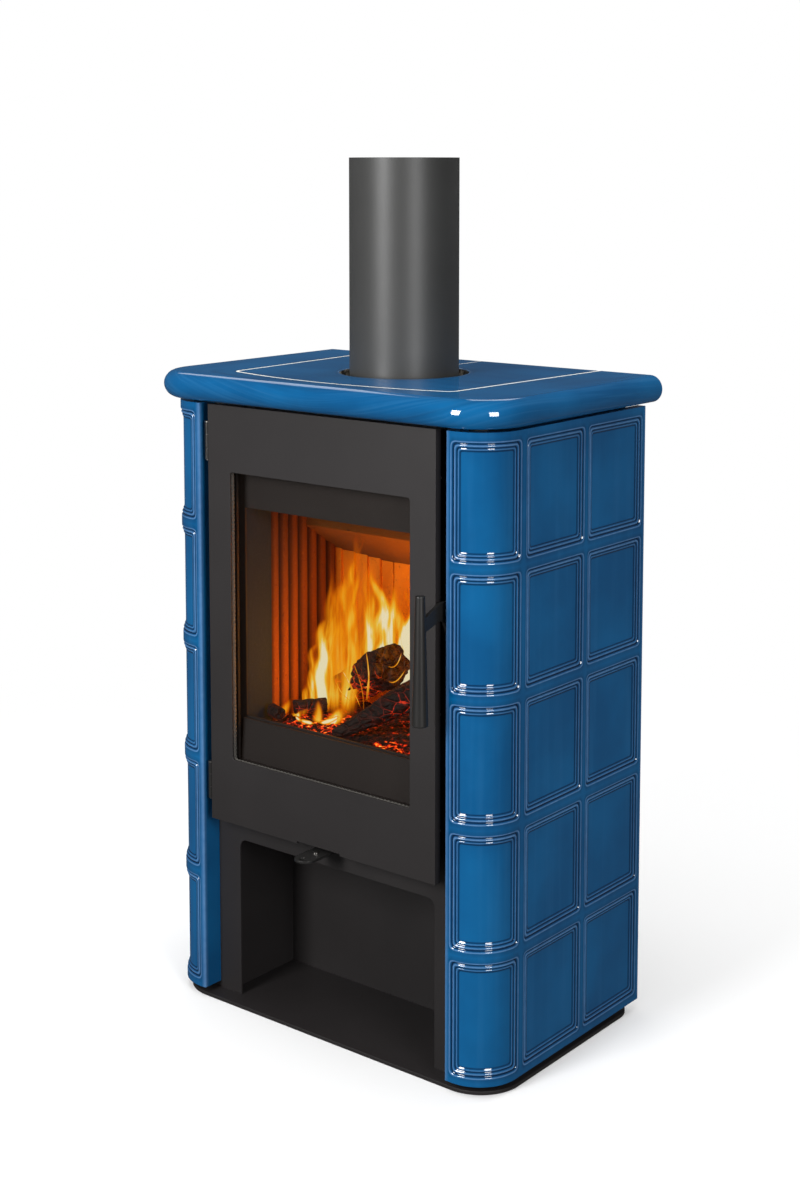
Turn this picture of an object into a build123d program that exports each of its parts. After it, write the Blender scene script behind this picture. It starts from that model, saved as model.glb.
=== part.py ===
from build123d import *
import math
import os

# Tiled wood stove. Millimetres. +Z up, the door faces -Y, the origin is on the floor
# under the middle of the bounding box.

# ---- driving sizes: shared -------------------------------------------------------------
sheet = 3.0              # body and firebox plate
liner = 2.0              # thin sheet
seat_gap = 0.3           # between separate pieces that rest beside each other
running = 0.05           # radial clearance of a pin in its eye
brick_thick = 30.0

# ---- driving sizes: widths, from the window outwards -----------------------------------
window_half = 155.4
door_border = 40.8       # window edge to door edge
door_gap = 15.8          # door edge to the tiles
tile_face = 70.0         # front leg of the tiles, door gap to outer face
top_overhang = 19.7      # top slab over the side tiles
base_inset = 2.0         # base plate behind the face of the side tiles
door_half = window_half + door_border
tile_inner_edge = door_half + door_gap
tile_half = tile_inner_edge + tile_face
top_half = tile_half + top_overhang
base_half = tile_half - base_inset

# ---- driving sizes: side tiles ---------------------------------------------------------
tile_front = -158.0      # face of the front legs
tile_corner = 58.4       # outer corner radius in plan
tile_wall = 14.0
tile_return = 31.4       # depth of the leg's end face beside the door
tile_leg = 12.0          # thickness of the returned leg
tile_bottom = 14.3       # floor to the lowest course
course_count = 5
panel_height = 151.4     # raised panel
panel_gap = 13.7         # one raised panel to the next above
panel_low_margin = 10.4  # under the lowest panel
panel_top_margin = 11.5  # over the highest panel
corner_panel_inset = 8.0     # door side of the tile to the corner panel
corner_panel_depth = 63.5    # how far the corner panel runs back on the side
corner_gap = 11.3
middle_panel_width = 130.2
back_gap = 9.7
back_panel_width = 130.8
back_margin = 10.0
groove_inset = 2.0       # plain ridge outside the groove
groove_width = 2.5
groove_depth = 1.5
field_inset = 12.0       # outer edge of a panel to its sunk field
field_depth = 3.0
panel_reach = 20.0       # how far the panel cutters reach past the tile face
rail_depth = 15.0        # rails that carry the tiles on the body side
rail_width = 20.0
rail_front = 66.3        # front rail behind the front frame
rail_rear = 41.5         # rear rail in front of the rear panel
rail_top_gap = 10.0
panel_pitch = panel_height + panel_gap
tile_top = tile_bottom + panel_low_margin + course_count * panel_pitch - panel_gap + panel_top_margin
corner_panel_start = tile_inner_edge + corner_panel_inset
corner_panel_end = tile_front + corner_panel_depth
middle_start = corner_panel_end + corner_gap
middle_panel = (middle_start, middle_start + middle_panel_width)
back_start = middle_panel[1] + back_gap
back_panel = (back_start, back_start + back_panel_width)
tile_back = back_panel[1] + back_margin

# ---- driving sizes: glazed top ---------------------------------------------------------
front_overhang = 22.8    # top slab over the front legs
back_overhang = 8.0
shadow_gap = 4.5         # between the side tiles and the slab
top_thick = 37.0
top_corner = 76.6
joint_width = 2.2        # cream joint between border and inset
joint_sink = 0.8
joint_depth = 12.0
border_side_front = 114.7    # slab edge to inset, at the inset's front corners
border_side_back = 99.7      # and at the back edge
border_front_mid = 40.8      # slab edge to the bowed front of the inset, middle
border_front_side = 68.8     # and at its corners
inset_corner = 14.0
top_front = tile_front - front_overhang
top_back = tile_back + back_overhang
slab_under = tile_top + shadow_gap
top_height = slab_under + top_thick
inset_side_front = top_half - border_side_front
inset_side_back = top_half - border_side_back
inset_front_mid = top_front + border_front_mid
inset_front_side = top_front + border_front_side

# ---- driving sizes: steel body ---------------------------------------------------------
base_thick = 5.0
base_front_inset = 6.0
base_back_inset = 4.5
base_corner = 62.0
base_corner_back = 38.0
rear_inset = 6.0         # rear panel in front of the tiles' back edge
casing_flange = 30.0
panel_screw_r = 2.0
panel_screw_head_r = 4.0
panel_screw_head = 2.5
panel_screw_edge = 15.0  # in from the side of the rear panel
panel_screw_bite = 4.0   # past the flange
panel_screw_low = 55.0
panel_screw_high = 29.5
panel_screw_rows = 4
vent_half = 32.0
vent_height = 8.0
vent_pitch_x = 100.0
vent_columns = 4
vent_pitch_z = 30.0
vent_rows = 3
vent_low = 184.0         # lowest vent over the roof of the wood store
vent_high = 89.5         # highest vent under the body top
frame_y = tile_front + tile_return + seat_gap
frame_back = frame_y + sheet
rear_face = tile_back - rear_inset
rear_inner = rear_face - liner
casing_half = tile_half - tile_wall - rail_depth
wall_top = slab_under - sheet
base_front = tile_front + base_front_inset
base_back = tile_back - base_back_inset

store_half = 192.0       # wood store, inner faces
store_depth = 127.6
store_roof_z = 236.0
store_lip = 20.0         # frame beside the mouth of the store
store_lip_top = 4.0
store_mouth_corner = 12.0
store_back = frame_back + store_depth
store_mouth_half = store_half - store_lip
store_mouth_top = store_roof_z - store_lip_top

# ---- driving sizes: air control --------------------------------------------------------
air_height = 30.0        # roof of the wood store to the foot of the door
travel = 20.0            # of the air lever, to either side
tongue_half = 15.0
tongue_drop = 6.5        # tongue under the foot of the door
tongue_thick = 3.5
tongue_reach = 39.5      # tip in front of the door
tongue_inside = 22.3     # end of the tongue behind the front frame
finger_back = 8.5        # finger hole behind the tip
finger_r = 4.5
rivet_front = 4.5        # rivet in front of the door
rivet_r = 2.5
rivet_head_r = 4.0
rivet_head = 1.8
slide_half = 70.0
slide_depth = 116.0
guide_width = 12.0
guide_lip = 3.0
guide_lip_width = 8.0
guide_end = 15.0         # guide past the slide at the end of its travel
slot_count = 3
slot_size = (16.0, 70.0)
slot_pitch = 36.0
air_slot_side = 3.0      # slot in the frame beside the tongue at the end of its travel
air_slot_low = 2.5
air_slot_height = 8.5
notch_side = 2.5         # notch in the door's foot, likewise
notch_height = 3.0
door_low = store_roof_z + air_height
door_front = tile_front + 1.0
tongue_z = door_low - tongue_drop
tongue_tip = door_front - tongue_reach
tongue_weld = frame_y + tongue_inside
finger_y = tongue_tip + finger_back
rivet_y = door_front - rivet_front
slide_back = tongue_weld + slide_depth
guide_half = slide_half + travel + guide_end
air_slot_half = tongue_half + travel + air_slot_side
air_slot_z = (tongue_z - air_slot_low, tongue_z - air_slot_low + air_slot_height)
notch_half = tongue_half + travel + notch_side

# ---- driving sizes: firebox shell and lining -------------------------------------------
mouth_margin = 1.6       # fire mouth outside the window
lining_margin = 3.0      # side bricks outside the fire mouth
jamb_depth = 52.3        # jambs behind the front frame
lining_depth = 142.0     # side bricks, front to back
flue_room = 52.5         # over the firebox shell, under the slab
lining_top_gap = 78.0    # side bricks under the shell top
ash_mouth_low = 23.0     # over the foot of the door
ash_mouth_height = 58.0
ash_mouth_side = 10.0    # beside the ash pan
plate_above = 13.0       # plate that carries the bricks, over the ash mouth
mouth_low = 23.0         # fire mouth over the floor bricks
mouth_top = 17.0         # fire mouth under the top of the side bricks
middle_half = 70.0       # flat middle brick of the back wall
lining_slit = 2.0
flute_pitch = 20.3
flute_groove = 3.0
flute_depth = 2.5
back_step = 20.3         # width of the steps in the back bricks
back_recess = 20.0       # how far they go back from the corners to the middle
grate_half = 59.0
grate_back = 40.0        # grate in front of the back bricks
grate_thick = 20.0
grate_ring = 9.0
grate_slots = 8
grate_slot = 6.0
baffle_run = 66.3        # front edge of the lower baffle before the back bricks
baffle_drop = 61.7       # its underside below the top of the side bricks
baffle_fall = 43.3       # how far it slopes down to the back bricks
baffle_edge = 14.0        # upright thickness
baffle_end_gap = 1.0      # behind its rear edge
baffle_notch = 10.0      # how far it sits in the side bricks
baffle_slot_gap = 0.5
upper_baffle_z = (13.0, 36.0)    # over the side bricks, front and back
upper_baffle_back = 13.0         # rear edge before the back bricks
upper_baffle_thick = 4.0
pan_half = 130.0
pan_height = 39.0
pan_lift = 2.0           # over the foot of the ash mouth
pan_front = 5.3          # behind the front frame
pan_back = 3.0           # before the back bricks
pan_wall = 2.0
pan_rail_inset = 20.0    # rails under the pan
pan_rail = 8.0
pan_pull = (30.0, 12.0)
fire_mouth_half = window_half + mouth_margin
lining_half = fire_mouth_half + lining_margin
shell_half = lining_half + brick_thick
shell_floor_z = tongue_z + tongue_thick + seat_gap
shell_top_z = slab_under - flue_room
ash_mouth_half = pan_half + ash_mouth_side
ash_mouth_z = (door_low + ash_mouth_low, door_low + ash_mouth_low + ash_mouth_height)
plate_z = ash_mouth_z[1] + plate_above
floor_top = plate_z + brick_thick
lining_top = shell_top_z - lining_top_gap
fire_mouth_z = (floor_top + mouth_low, lining_top - mouth_top)
jamb_depth_y = frame_back + jamb_depth
lining_back = jamb_depth_y + lining_depth
shell_back = lining_back + brick_thick
grate_y = (jamb_depth_y, lining_back - grate_back)
baffle_y = lining_back - baffle_run
baffle_z = lining_top - baffle_drop
back_lining_top = baffle_z - baffle_fall
pan_y = (frame_back + pan_front, lining_back - pan_back)
pan_z = (ash_mouth_z[0] + pan_lift, ash_mouth_z[0] + pan_lift + pan_height)
pan_rail_x = pan_half - pan_rail_inset

# ---- driving sizes: fuel ----------------------------------------------------------------
# Ends of the logs: X inwards from the left (-) or right (+) side bricks, Y from the side
# bricks' front edge, Z above a log that lies on the floor bricks.
ember_height = 16.0
ember_side = 12.0        # embers before the side bricks
ember_front = 7.3
ember_back = 9.0
ember_slope = 12.0
log_front_ends = ((-124.0, -19.0, 1.0), (38.0, 39.0, 72.0))
log_front_r = 27.0
log_back_ends = ((-48.0, 99.0, 13.0), (146.0, 53.0, 55.0))
log_back_r = 40.0
stick_ends = ((-33.0, 10.0, 14.0), (-63.0, 44.0, 15.0))
stick_r = 11.5
twig_ends = ((-14.0, -17.0, 14.0), (-38.0, -25.0, 14.0))
twig_r = 10.0
log_gap = 0.3            # between pieces that lie against each other
ember_top = floor_top + ember_height
ember_half = lining_half - ember_side
ember_y = (frame_back + ember_front, lining_back - ember_back)

# ---- driving sizes: flue and air inlet -------------------------------------------------
pipe_r = 75.0
pipe_wall = 2.0
pipe_above = 292.0       # pipe over the top slab
socket_gap = 0.3         # pipe in the spigot
socket_length = 50.0
ledge_height = 15.0      # ledge in the spigot that the pipe stands on, as wide as its wall
spigot_wall = 3.2
spigot_flange_width = 16.5
flue_back = 74.5         # flue axis before the back of the shell
top_hole_gap = 13.9      # round the pipe
inlet_r = 40.0
inlet_wall = 2.0
inlet_below = 56.0       # inlet axis under the roof of the wood store
inlet_stub = 12.5        # behind the rear panel
duct_margin = 20.0       # duct beside the inlet
duct_foot = 12.0         # duct under the inlet
duct_gap = 17.7          # behind the wood store
duct_edge_gap = 2.0      # rear panel round the duct
passage_rear = 27.5
flue_y = shell_back - flue_back
top_hole = pipe_r + top_hole_gap
pipe_top = top_height + pipe_above
spigot_socket = pipe_r + socket_gap
spigot_r = spigot_socket + spigot_wall
spigot_bore = pipe_r - pipe_wall
spigot_flange = spigot_r + spigot_flange_width
spigot_base = shell_top_z + sheet
pipe_foot = spigot_base + ledge_height
spigot_top = pipe_foot + socket_length
inlet_z = store_roof_z - inlet_below
inlet_end = rear_face + inlet_stub
duct_half = inlet_r + duct_margin
duct_z = inlet_z - inlet_r - duct_foot
duct_front = store_back + liner + duct_gap

# ---- driving sizes: door ---------------------------------------------------------------
door_sheet = 3.0
door_flange = 11.0
window_low = 91.3        # over the foot of the door
window_top = 90.4        # under the head of the door
window_corner = 4.0
gasket_d = 8.0
glass_thick = 4.0
glass_lap = 10.6         # glass over the window edge
clamp_lap = 2.6
clamp_thick = 4.0
bar_inset = 6.2          # stiffening bar behind the door's edge
bar_width = 6.0
bar_margin = 8.0
seal_gap = 0.3
seal_side = 15.0         # outside the fire mouth
seal_corner = 18.0
seal_margin = 7.0        # bar edge to the middle of the seal, top and bottom
screw_r = 2.0
screw_head_r = 2.8
screw_head = 1.6
screw_length = 10.0
screw_rows = 4
screw_margin = 56.0
retainer_height = 60.0
retainer_below = 2.0     # under the edge of the fire mouth
retainer_gap = 0.6       # behind the glass clamp
retainer_lean = 5.0
door_z = (door_low, tile_top)
window_z = (door_low + window_low, tile_top - window_top)
bar_y = door_front + door_sheet
glass_y = bar_y + gasket_d
clamp_y = glass_y + glass_thick
seal_y = clamp_y + clamp_thick
clamp_half = window_half + clamp_lap
bar_outer = door_half - bar_inset
bar_z = (door_z[0] + bar_margin, door_z[1] - bar_margin)
seal_half = fire_mouth_half + seal_side
retainer_half = clamp_half
retainer_z = (fire_mouth_z[0] - retainer_below - retainer_height, fire_mouth_z[0] - retainer_below)
retainer_y = (seal_y + retainer_gap, seal_y + retainer_gap + retainer_lean)

side_offset = 5.8        # hinge axis and latch lever beside the door
hinge_r = 4.0
hinge_pin_r = 2.5
hinge_web = 3.0
hinge_head = 2.0
eye_height = 18.0
eye_margin = 52.0        # middle of each eye from the end of the door
knuckle = 16.0
knuckle_gap = 0.5
hinge_x = -door_half - side_offset
hinge_y = door_front + door_flange / 2
eye_z = (door_z[0] + eye_margin, door_z[1] - eye_margin)

# ---- driving sizes: latch lever --------------------------------------------------------
lever_thick = 5.0
lever_back = 16.5        # pivot behind the door face
lever_height = 354.0     # pivot over the foot of the door
lever_pin_r = 4.0
lever_boss_r = 4.9
lever_head_r = 6.4
lever_head = 2.0
lever_grip_edge = (-22.5, -5.5)      # where the lever meets the grip, from the pivot
lever_outline = ((-17.5, 10.5), (-6.5, 11.0), (6.5, 9.0), (10.5, 4.0), (10.5, -30.0),
                 (0.5, -33.0), (-7.5, -16.0), (-17.5, -11.5))
grip_reach = 38.15       # grip axis in front of the door
grip_above = 27.0        # grip over the pivot
grip_below = 137.0
grip_r_low = 10.35
grip_r_top = 6.1
grip_edge = 1.5
keeper_clear = 1.7       # beside the lever
keeper_thick = 3.0
keeper_drop = (32.0, 10.0)   # foot and top under the pivot
keeper_reach = 13.0
keeper_foot = 16.0
lever_x = door_half + side_offset
lever_y = door_front + lever_back
lever_z = door_z[0] + lever_height
grip_y = door_front - grip_reach
grip_z = (lever_z - grip_below, lever_z + grip_above)
keeper_x = lever_x + lever_thick / 2 + keeper_clear
keeper_z = (lever_z - keeper_drop[0], lever_z - keeper_drop[1])


def spread(low, high, count):
    """Evenly spaced places from one end to the other."""
    return [low + (high - low) * index / (count - 1) for index in range(count)]


def box(x0, x1, y0, y1, z0, z1):
    """A block between two corners."""
    middle = ((x0 + x1) / 2, (y0 + y1) / 2, (z0 + z1) / 2)
    return Pos(*middle) * Box(x1 - x0, y1 - y0, z1 - z0)


def rod_z(x, y, z0, z1, r):
    return Pos(x, y, (z0 + z1) / 2) * Cylinder(r, z1 - z0)


def rod_y(x, z, y0, y1, r):
    return Pos(x, (y0 + y1) / 2, z) * Rot(90, 0, 0) * Cylinder(r, y1 - y0)


def rod_x(y, z, x0, x1, r):
    return Pos((x0 + x1) / 2, y, z) * Rot(0, 90, 0) * Cylinder(r, x1 - x0)


def rod_between(start, end, r):
    """A round bar from one point to another."""
    along = end - start
    return Plane(origin=(start + end) * 0.5, z_dir=along) * Cylinder(r, along.length)


def plan_prism(points, z0, z1):
    """A prism with straight sides from points in plan."""
    return Pos(0, 0, z0) * extrude(make_face(Polyline(*points, close=True)), z1 - z0)


def side_prism(points, x0, x1):
    """A prism along X from (y, z) points."""
    outline = Polyline(*[(x0, y, z) for y, z in points], close=True)
    return extrude(make_face(outline), x1 - x0, dir=(1, 0, 0))


def mirrored(shape):
    return mirror(shape, about=Plane.YZ)


def save(name, shapes):
    """Write one node: a solid, or a group of separate solids."""
    solids = []
    for shape in shapes if isinstance(shapes, (list, tuple)) else [shapes]:
        solids.extend(shape.solids())
    body = solids[0] if len(solids) == 1 else Compound(children=solids)
    body.label = name
    export_step(body, "parts/" + name + ".step")
    print(f"{name:22s} {len(solids):3d} solids")


# ---- side tiles ------------------------------------------------------------------------
def tile_outline(inset, end_y):
    """Right-hand plan outline from the door side round the corner to the back."""
    x, y, r = tile_half - inset, tile_front + inset, tile_corner - inset
    straight = Line((tile_inner_edge, y), (x - r, y))
    corner = ThreePointArc((x - r, y), (x - r + r * math.sin(math.pi / 4),
                                        y + r - r * math.cos(math.pi / 4)), (x, y + r))
    side = Line((x, y + r), (x, end_y))
    return straight, corner, side


def tile_skin(depth, z0, z1):
    """The outermost layer of the right-hand tiles, as deep as given."""
    outer = tile_outline(0, tile_back)
    inner = tile_outline(depth, tile_back)
    ends = [Line(outer[0] @ 0, inner[0] @ 0), Line(outer[2] @ 1, inner[2] @ 1)]
    face = make_face([*outer, *inner, *ends])
    return Pos(0, 0, z0) * extrude(face, z1 - z0)


def panel_windows(inset):
    """The three panels of a course in plan, drawn in by an inset."""
    near, far = tile_half - panel_reach, tile_half + panel_reach
    return [(corner_panel_start + inset, far, tile_front - panel_reach, corner_panel_end - inset),
            (near, far, middle_panel[0] + inset, middle_panel[1] - inset),
            (near, far, back_panel[0] + inset, back_panel[1] - inset)]


def panel_cut(inset, depth, z0, z1):
    skin = tile_skin(depth, z0 + inset, z1 - inset)
    return [skin & box(*window, z0, z1) for window in panel_windows(inset)]


def tile_course(index):
    """One course of the right-hand side: wall, returned leg, three framed panels."""
    panel_z = tile_bottom + panel_low_margin + index * panel_pitch
    z0 = tile_bottom if index == 0 else panel_z - panel_gap / 2
    z1 = tile_top if index == course_count - 1 else panel_z + panel_height + panel_gap / 2
    wall = tile_skin(tile_wall, z0, z1)
    leg = box(tile_inner_edge, tile_inner_edge + tile_leg, tile_front, tile_front + tile_return, z0, z1)
    tile = wall + leg
    top = panel_z + panel_height
    outer = panel_cut(groove_inset, groove_depth, panel_z, top)
    inner = panel_cut(groove_inset + groove_width, groove_depth, panel_z, top)
    for ring, core in zip(outer, inner):
        tile -= ring - core
    for field in panel_cut(field_inset, field_depth, panel_z, top):
        tile -= field
    return tile


def make_tiles():
    for index in range(course_count):
        course = tile_course(index)
        save(f"tile_right_{index + 1}", course)
        save(f"tile_left_{index + 1}", mirrored(course))
    rails = []
    for y in (frame_y + rail_front, rear_face - rail_rear):
        rail = box(casing_half, tile_half - tile_wall, y - rail_width / 2, y + rail_width / 2,
                   tile_bottom, tile_top - rail_top_gap)
        rails += [rail, mirrored(rail)]
    save("tile_rails", rails)


# ---- glazed top ------------------------------------------------------------------------
def top_slab():
    """Plate with a full round nose on the front and both sides, square at the back."""
    r = top_thick / 2
    x, y, corner = top_half - r, top_front + r, top_corner - r
    arc = corner * math.sin(math.pi / 4)
    left = ThreePointArc((-x, y + corner), (-x + corner - arc, y + corner - arc), (-x + corner, y))
    right = ThreePointArc((x - corner, y), (x - corner + arc, y + corner - arc), (x, y + corner))
    path = Line((-x, top_back), (-x, y + corner)) + left + Line((-x + corner, y), (x - corner, y))
    path = path + right + Line((x, y + corner), (x, top_back))
    outline = make_face(path + Line((x, top_back), (-x, top_back)))
    plate = extrude(outline, top_thick)
    profile = Plane(origin=(-x, top_back, 0), z_dir=(0, -1, 0)) * Circle(r)
    nose = sweep(profile, path)
    slab = plate + Pos(0, 0, r) * nose
    slab = slab - rod_z(0, flue_y, -1, top_thick + 1, top_hole)
    return Pos(0, 0, slab_under) * slab


def inset_prism(grow, z0, z1):
    """The inset of the top: a bowed front edge and sides that flare to the back."""
    side, back = inset_side_front + grow, inset_side_back + grow
    front, mid = inset_front_side - grow, inset_front_mid - grow
    bow = ThreePointArc((-side, front), (0, mid), (side, front))
    end = top_back + 1
    edges = [bow, Line((side, front), (back, end)), Line((back, end), (-back, end)),
             Line((-back, end), (-side, front))]
    solid = Pos(0, 0, z0) * extrude(make_face(edges), z1 - z0)
    corners = solid.edges().filter_by(Axis.Z).sort_by(Axis.Y)[:2]
    return fillet(corners, inset_corner + grow)


def make_top():
    slab = top_slab()
    half = joint_width / 2
    low, high = slab_under - 1, top_height + 1
    outside = inset_prism(half, low, high)
    inside = inset_prism(-half, low, high)
    slit = box(-half, half, flue_y, top_back + 1, low, high)
    border = slab - outside
    inset = (slab & inside) - slit
    joint_z = (top_height - joint_depth, top_height - joint_sink)
    ring = inset_prism(half, *joint_z) - inset_prism(-half, *joint_z)
    centre = box(-half, half, flue_y, top_back, *joint_z) - rod_z(0, flue_y, *joint_z, top_hole)
    grout = (ring & box(-top_half, top_half, top_front, top_back, *joint_z)) + centre
    save("top_border", border)
    save("top_inset", inset)
    save("top_grout", grout)


# ---- steel body ------------------------------------------------------------------------
def make_body():
    plate = box(-base_half, base_half, base_front, base_back, 0, base_thick)
    uprights = plate.edges().filter_by(Axis.Z).sort_by(Axis.Y)
    plate = fillet(uprights[:2], base_corner)
    uprights = plate.edges().filter_by(Axis.Z).sort_by(Axis.Y)
    save("base_plate", fillet(uprights[-2:], base_corner_back))

    screw_x = casing_half - panel_screw_edge
    screw_zs = spread(base_thick + panel_screw_low, wall_top - panel_screw_high, panel_screw_rows)
    web = box(casing_half - sheet, casing_half, frame_back, rear_inner, base_thick, wall_top)
    front = box(casing_half - casing_flange - sheet, casing_half, frame_back, frame_back + sheet,
                base_thick, wall_top)
    rear = box(casing_half - casing_flange, casing_half, rear_inner - sheet, rear_inner,
               base_thick, wall_top)
    side = web + front + rear
    for z in screw_zs:
        side -= rod_y(screw_x, z, rear_inner - sheet - 1, rear_face, panel_screw_r)
    save("carcass_right", side)
    save("carcass_left", mirrored(side))

    cover = box(-casing_half, casing_half, frame_y, rear_face, wall_top, slab_under)
    save("body_top", cover - rod_z(0, flue_y, wall_top - 1, slab_under + 1, top_hole + 1))

    frame = box(-casing_half, casing_half, frame_y, frame_back, base_thick, wall_top)
    mouth = box(-store_mouth_half, store_mouth_half, frame_y - 1, frame_back + 1,
                base_thick - 1, store_mouth_top)
    mouth_corners = mouth.edges().filter_by(Axis.Y).sort_by(Axis.Z)[-2:]
    frame -= fillet(mouth_corners, store_mouth_corner)
    frame -= box(-air_slot_half, air_slot_half, frame_y - 1, frame_back + 1, *air_slot_z)
    frame -= box(-ash_mouth_half, ash_mouth_half, frame_y - 1, frame_back + 1, *ash_mouth_z)
    frame -= box(-fire_mouth_half, fire_mouth_half, frame_y - 1, frame_back + 1, *fire_mouth_z)
    save("front_frame", frame)

    panel = box(-casing_half, casing_half, rear_inner, rear_face, base_thick, wall_top)
    panel -= box(-duct_half - duct_edge_gap, duct_half + duct_edge_gap, rear_inner - 1, rear_face + 1,
                 duct_z - duct_edge_gap, store_roof_z + sheet + seat_gap)
    vent_x = vent_pitch_x * (vent_columns - 1) / 2
    vent_run = vent_pitch_z * (vent_rows - 1)
    low, high = store_roof_z + vent_low, wall_top - vent_high
    vent_zs = spread(low, low + vent_run, vent_rows) + spread(high - vent_run, high, vent_rows)
    for x in spread(-vent_x, vent_x, vent_columns):
        for z in vent_zs:
            panel -= box(x - vent_half, x + vent_half, rear_inner - 1, rear_face + 1,
                         z - vent_height / 2, z + vent_height / 2)
    screws = []
    for x in (-screw_x, screw_x):
        for z in screw_zs:
            panel -= rod_y(x, z, rear_inner - 1, rear_face + 1, panel_screw_r)
            shank = rod_y(x, z, rear_inner - sheet - panel_screw_bite, rear_face, panel_screw_r)
            screws.append(shank + rod_y(x, z, rear_face, rear_face + panel_screw_head,
                                        panel_screw_head_r))
    save("rear_panel", panel)
    save("rear_screws", screws)


def make_store():
    outer = box(-store_half - liner, store_half + liner, frame_back, store_back + liner,
                base_thick, store_roof_z)
    inner = box(-store_half, store_half, frame_back - 1, store_back, base_thick - 1, store_roof_z + 1)
    save("store_liner", outer - inner)
    roof = box(-store_half - liner, store_half + liner, frame_back, rear_inner, store_roof_z,
               store_roof_z + sheet)
    passage = box(-duct_half + liner, duct_half - liner, duct_front + liner,
                  rear_inner - liner - passage_rear, store_roof_z - 1, store_roof_z + sheet + 1)
    save("store_roof", roof - passage)


def make_air_path():
    """Outside air: rear spigot, upright duct, chamber under the firebox."""
    outer = box(-duct_half, duct_half, duct_front, rear_inner, duct_z, store_roof_z)
    inner = box(-duct_half + liner, duct_half - liner, duct_front + liner, rear_inner - liner,
                duct_z + liner, store_roof_z + 1)
    duct = (outer - inner) + rod_y(0, inlet_z, rear_inner - liner, inlet_end, inlet_r)
    duct -= rod_y(0, inlet_z, rear_inner - liner - 1, inlet_end + 1, inlet_r - inlet_wall)
    save("air_duct", duct)

    lip = tongue_z - seat_gap - guide_lip
    front_edge = tongue_weld - seat_gap
    front = box(-guide_half, guide_half, frame_back, front_edge, lip, shell_floor_z)
    front += box(-guide_half, guide_half, front_edge, front_edge + guide_lip_width, lip,
                 lip + guide_lip)
    front -= box(-air_slot_half, air_slot_half, frame_back - 1, front_edge + 1,
                 lip + guide_lip, shell_floor_z + 1)
    back_edge = slide_back + seat_gap
    back = box(-guide_half, guide_half, back_edge, back_edge + guide_width, lip, shell_floor_z)
    back += box(-guide_half, guide_half, back_edge - guide_lip_width, back_edge, lip, lip + guide_lip)
    save("air_guides", [front, back])


def air_slots(z0, z1):
    middle = (tongue_weld + slide_back) / 2
    shapes = []
    for index in range(slot_count):
        x = (index - (slot_count - 1) / 2) * slot_pitch
        shapes.append(box(x - slot_size[0] / 2, x + slot_size[0] / 2, middle - slot_size[1] / 2,
                          middle + slot_size[1] / 2, z0, z1))
    return shapes


def make_firebox():
    """Five sheets welded along their edges: two sides, back, floor with the pan's rails, top."""
    head = shell_top_z + sheet
    side = box(shell_half, shell_half + sheet, frame_back, shell_back + sheet, shell_floor_z, head)
    back = box(-shell_half, shell_half, shell_back, shell_back + sheet, shell_floor_z, head)
    floor = box(-shell_half, shell_half, frame_back, shell_back, shell_floor_z, shell_floor_z + sheet)
    for slot in air_slots(shell_floor_z - 1, shell_floor_z + sheet + 1):
        floor -= slot
    for x in (-pan_rail_x, pan_rail_x):
        floor += box(x - pan_rail / 2, x + pan_rail / 2, *pan_y, shell_floor_z + sheet, pan_z[0])
    top = box(-shell_half, shell_half, frame_back, shell_back, shell_top_z, head)
    top -= rod_z(0, flue_y, shell_top_z - 1, spigot_base + 1, spigot_bore)
    save("firebox_shell", [side, mirrored(side), back, floor, top])

    under = plate_z - sheet
    ring_top = floor_top - grate_thick
    carrier = box(-shell_half, shell_half, frame_back, shell_back, under, plate_z)
    upstand = box(-grate_half, grate_half, *grate_y, plate_z, ring_top)
    hole = box(-grate_half + grate_ring, grate_half - grate_ring, grate_y[0] + grate_ring,
               grate_y[1] - grate_ring, under - 1, ring_top + 1)
    save("grate_carrier", carrier + upstand - hole)

    grate = box(-grate_half, grate_half, *grate_y, ring_top, floor_top)
    pitch = (2 * grate_half - 2 * grate_ring) / grate_slots
    for index in range(grate_slots):
        x = -grate_half + grate_ring + (index + 0.5) * pitch
        grate -= box(x - grate_slot / 2, x + grate_slot / 2, grate_y[0] + grate_ring,
                     grate_y[1] - grate_ring, ring_top - 1, floor_top + 1)
    save("grate", grate)
    make_lining()


def baffle_under(y):
    """Height of the lower baffle's underside."""
    return baffle_z - (y - baffle_y) * baffle_fall / baffle_run


def baffle_shape(half, grow):
    """Lower baffle: a plate that slopes down to the rear, on the sloping tops of the back bricks."""
    front, rear = baffle_y - grow, shell_back - baffle_end_gap + grow
    low = -grow
    high = baffle_edge + grow
    points = [(front, baffle_under(front) + low), (front, baffle_under(front) + high),
              (rear, baffle_under(rear) + high), (rear, baffle_under(rear) + low)]
    return side_prism(points, -half, half)


def under_baffle(brick):
    """A back brick with its top cut to the slope of the lower baffle."""
    front, rear = lining_back - 1, shell_back + 1
    roof = [(front, baffle_under(front)), (rear, baffle_under(rear)),
            (rear, back_lining_top + brick_thick), (front, back_lining_top + brick_thick)]
    return brick - side_prism(roof, -shell_half - 1, shell_half + 1)


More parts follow.
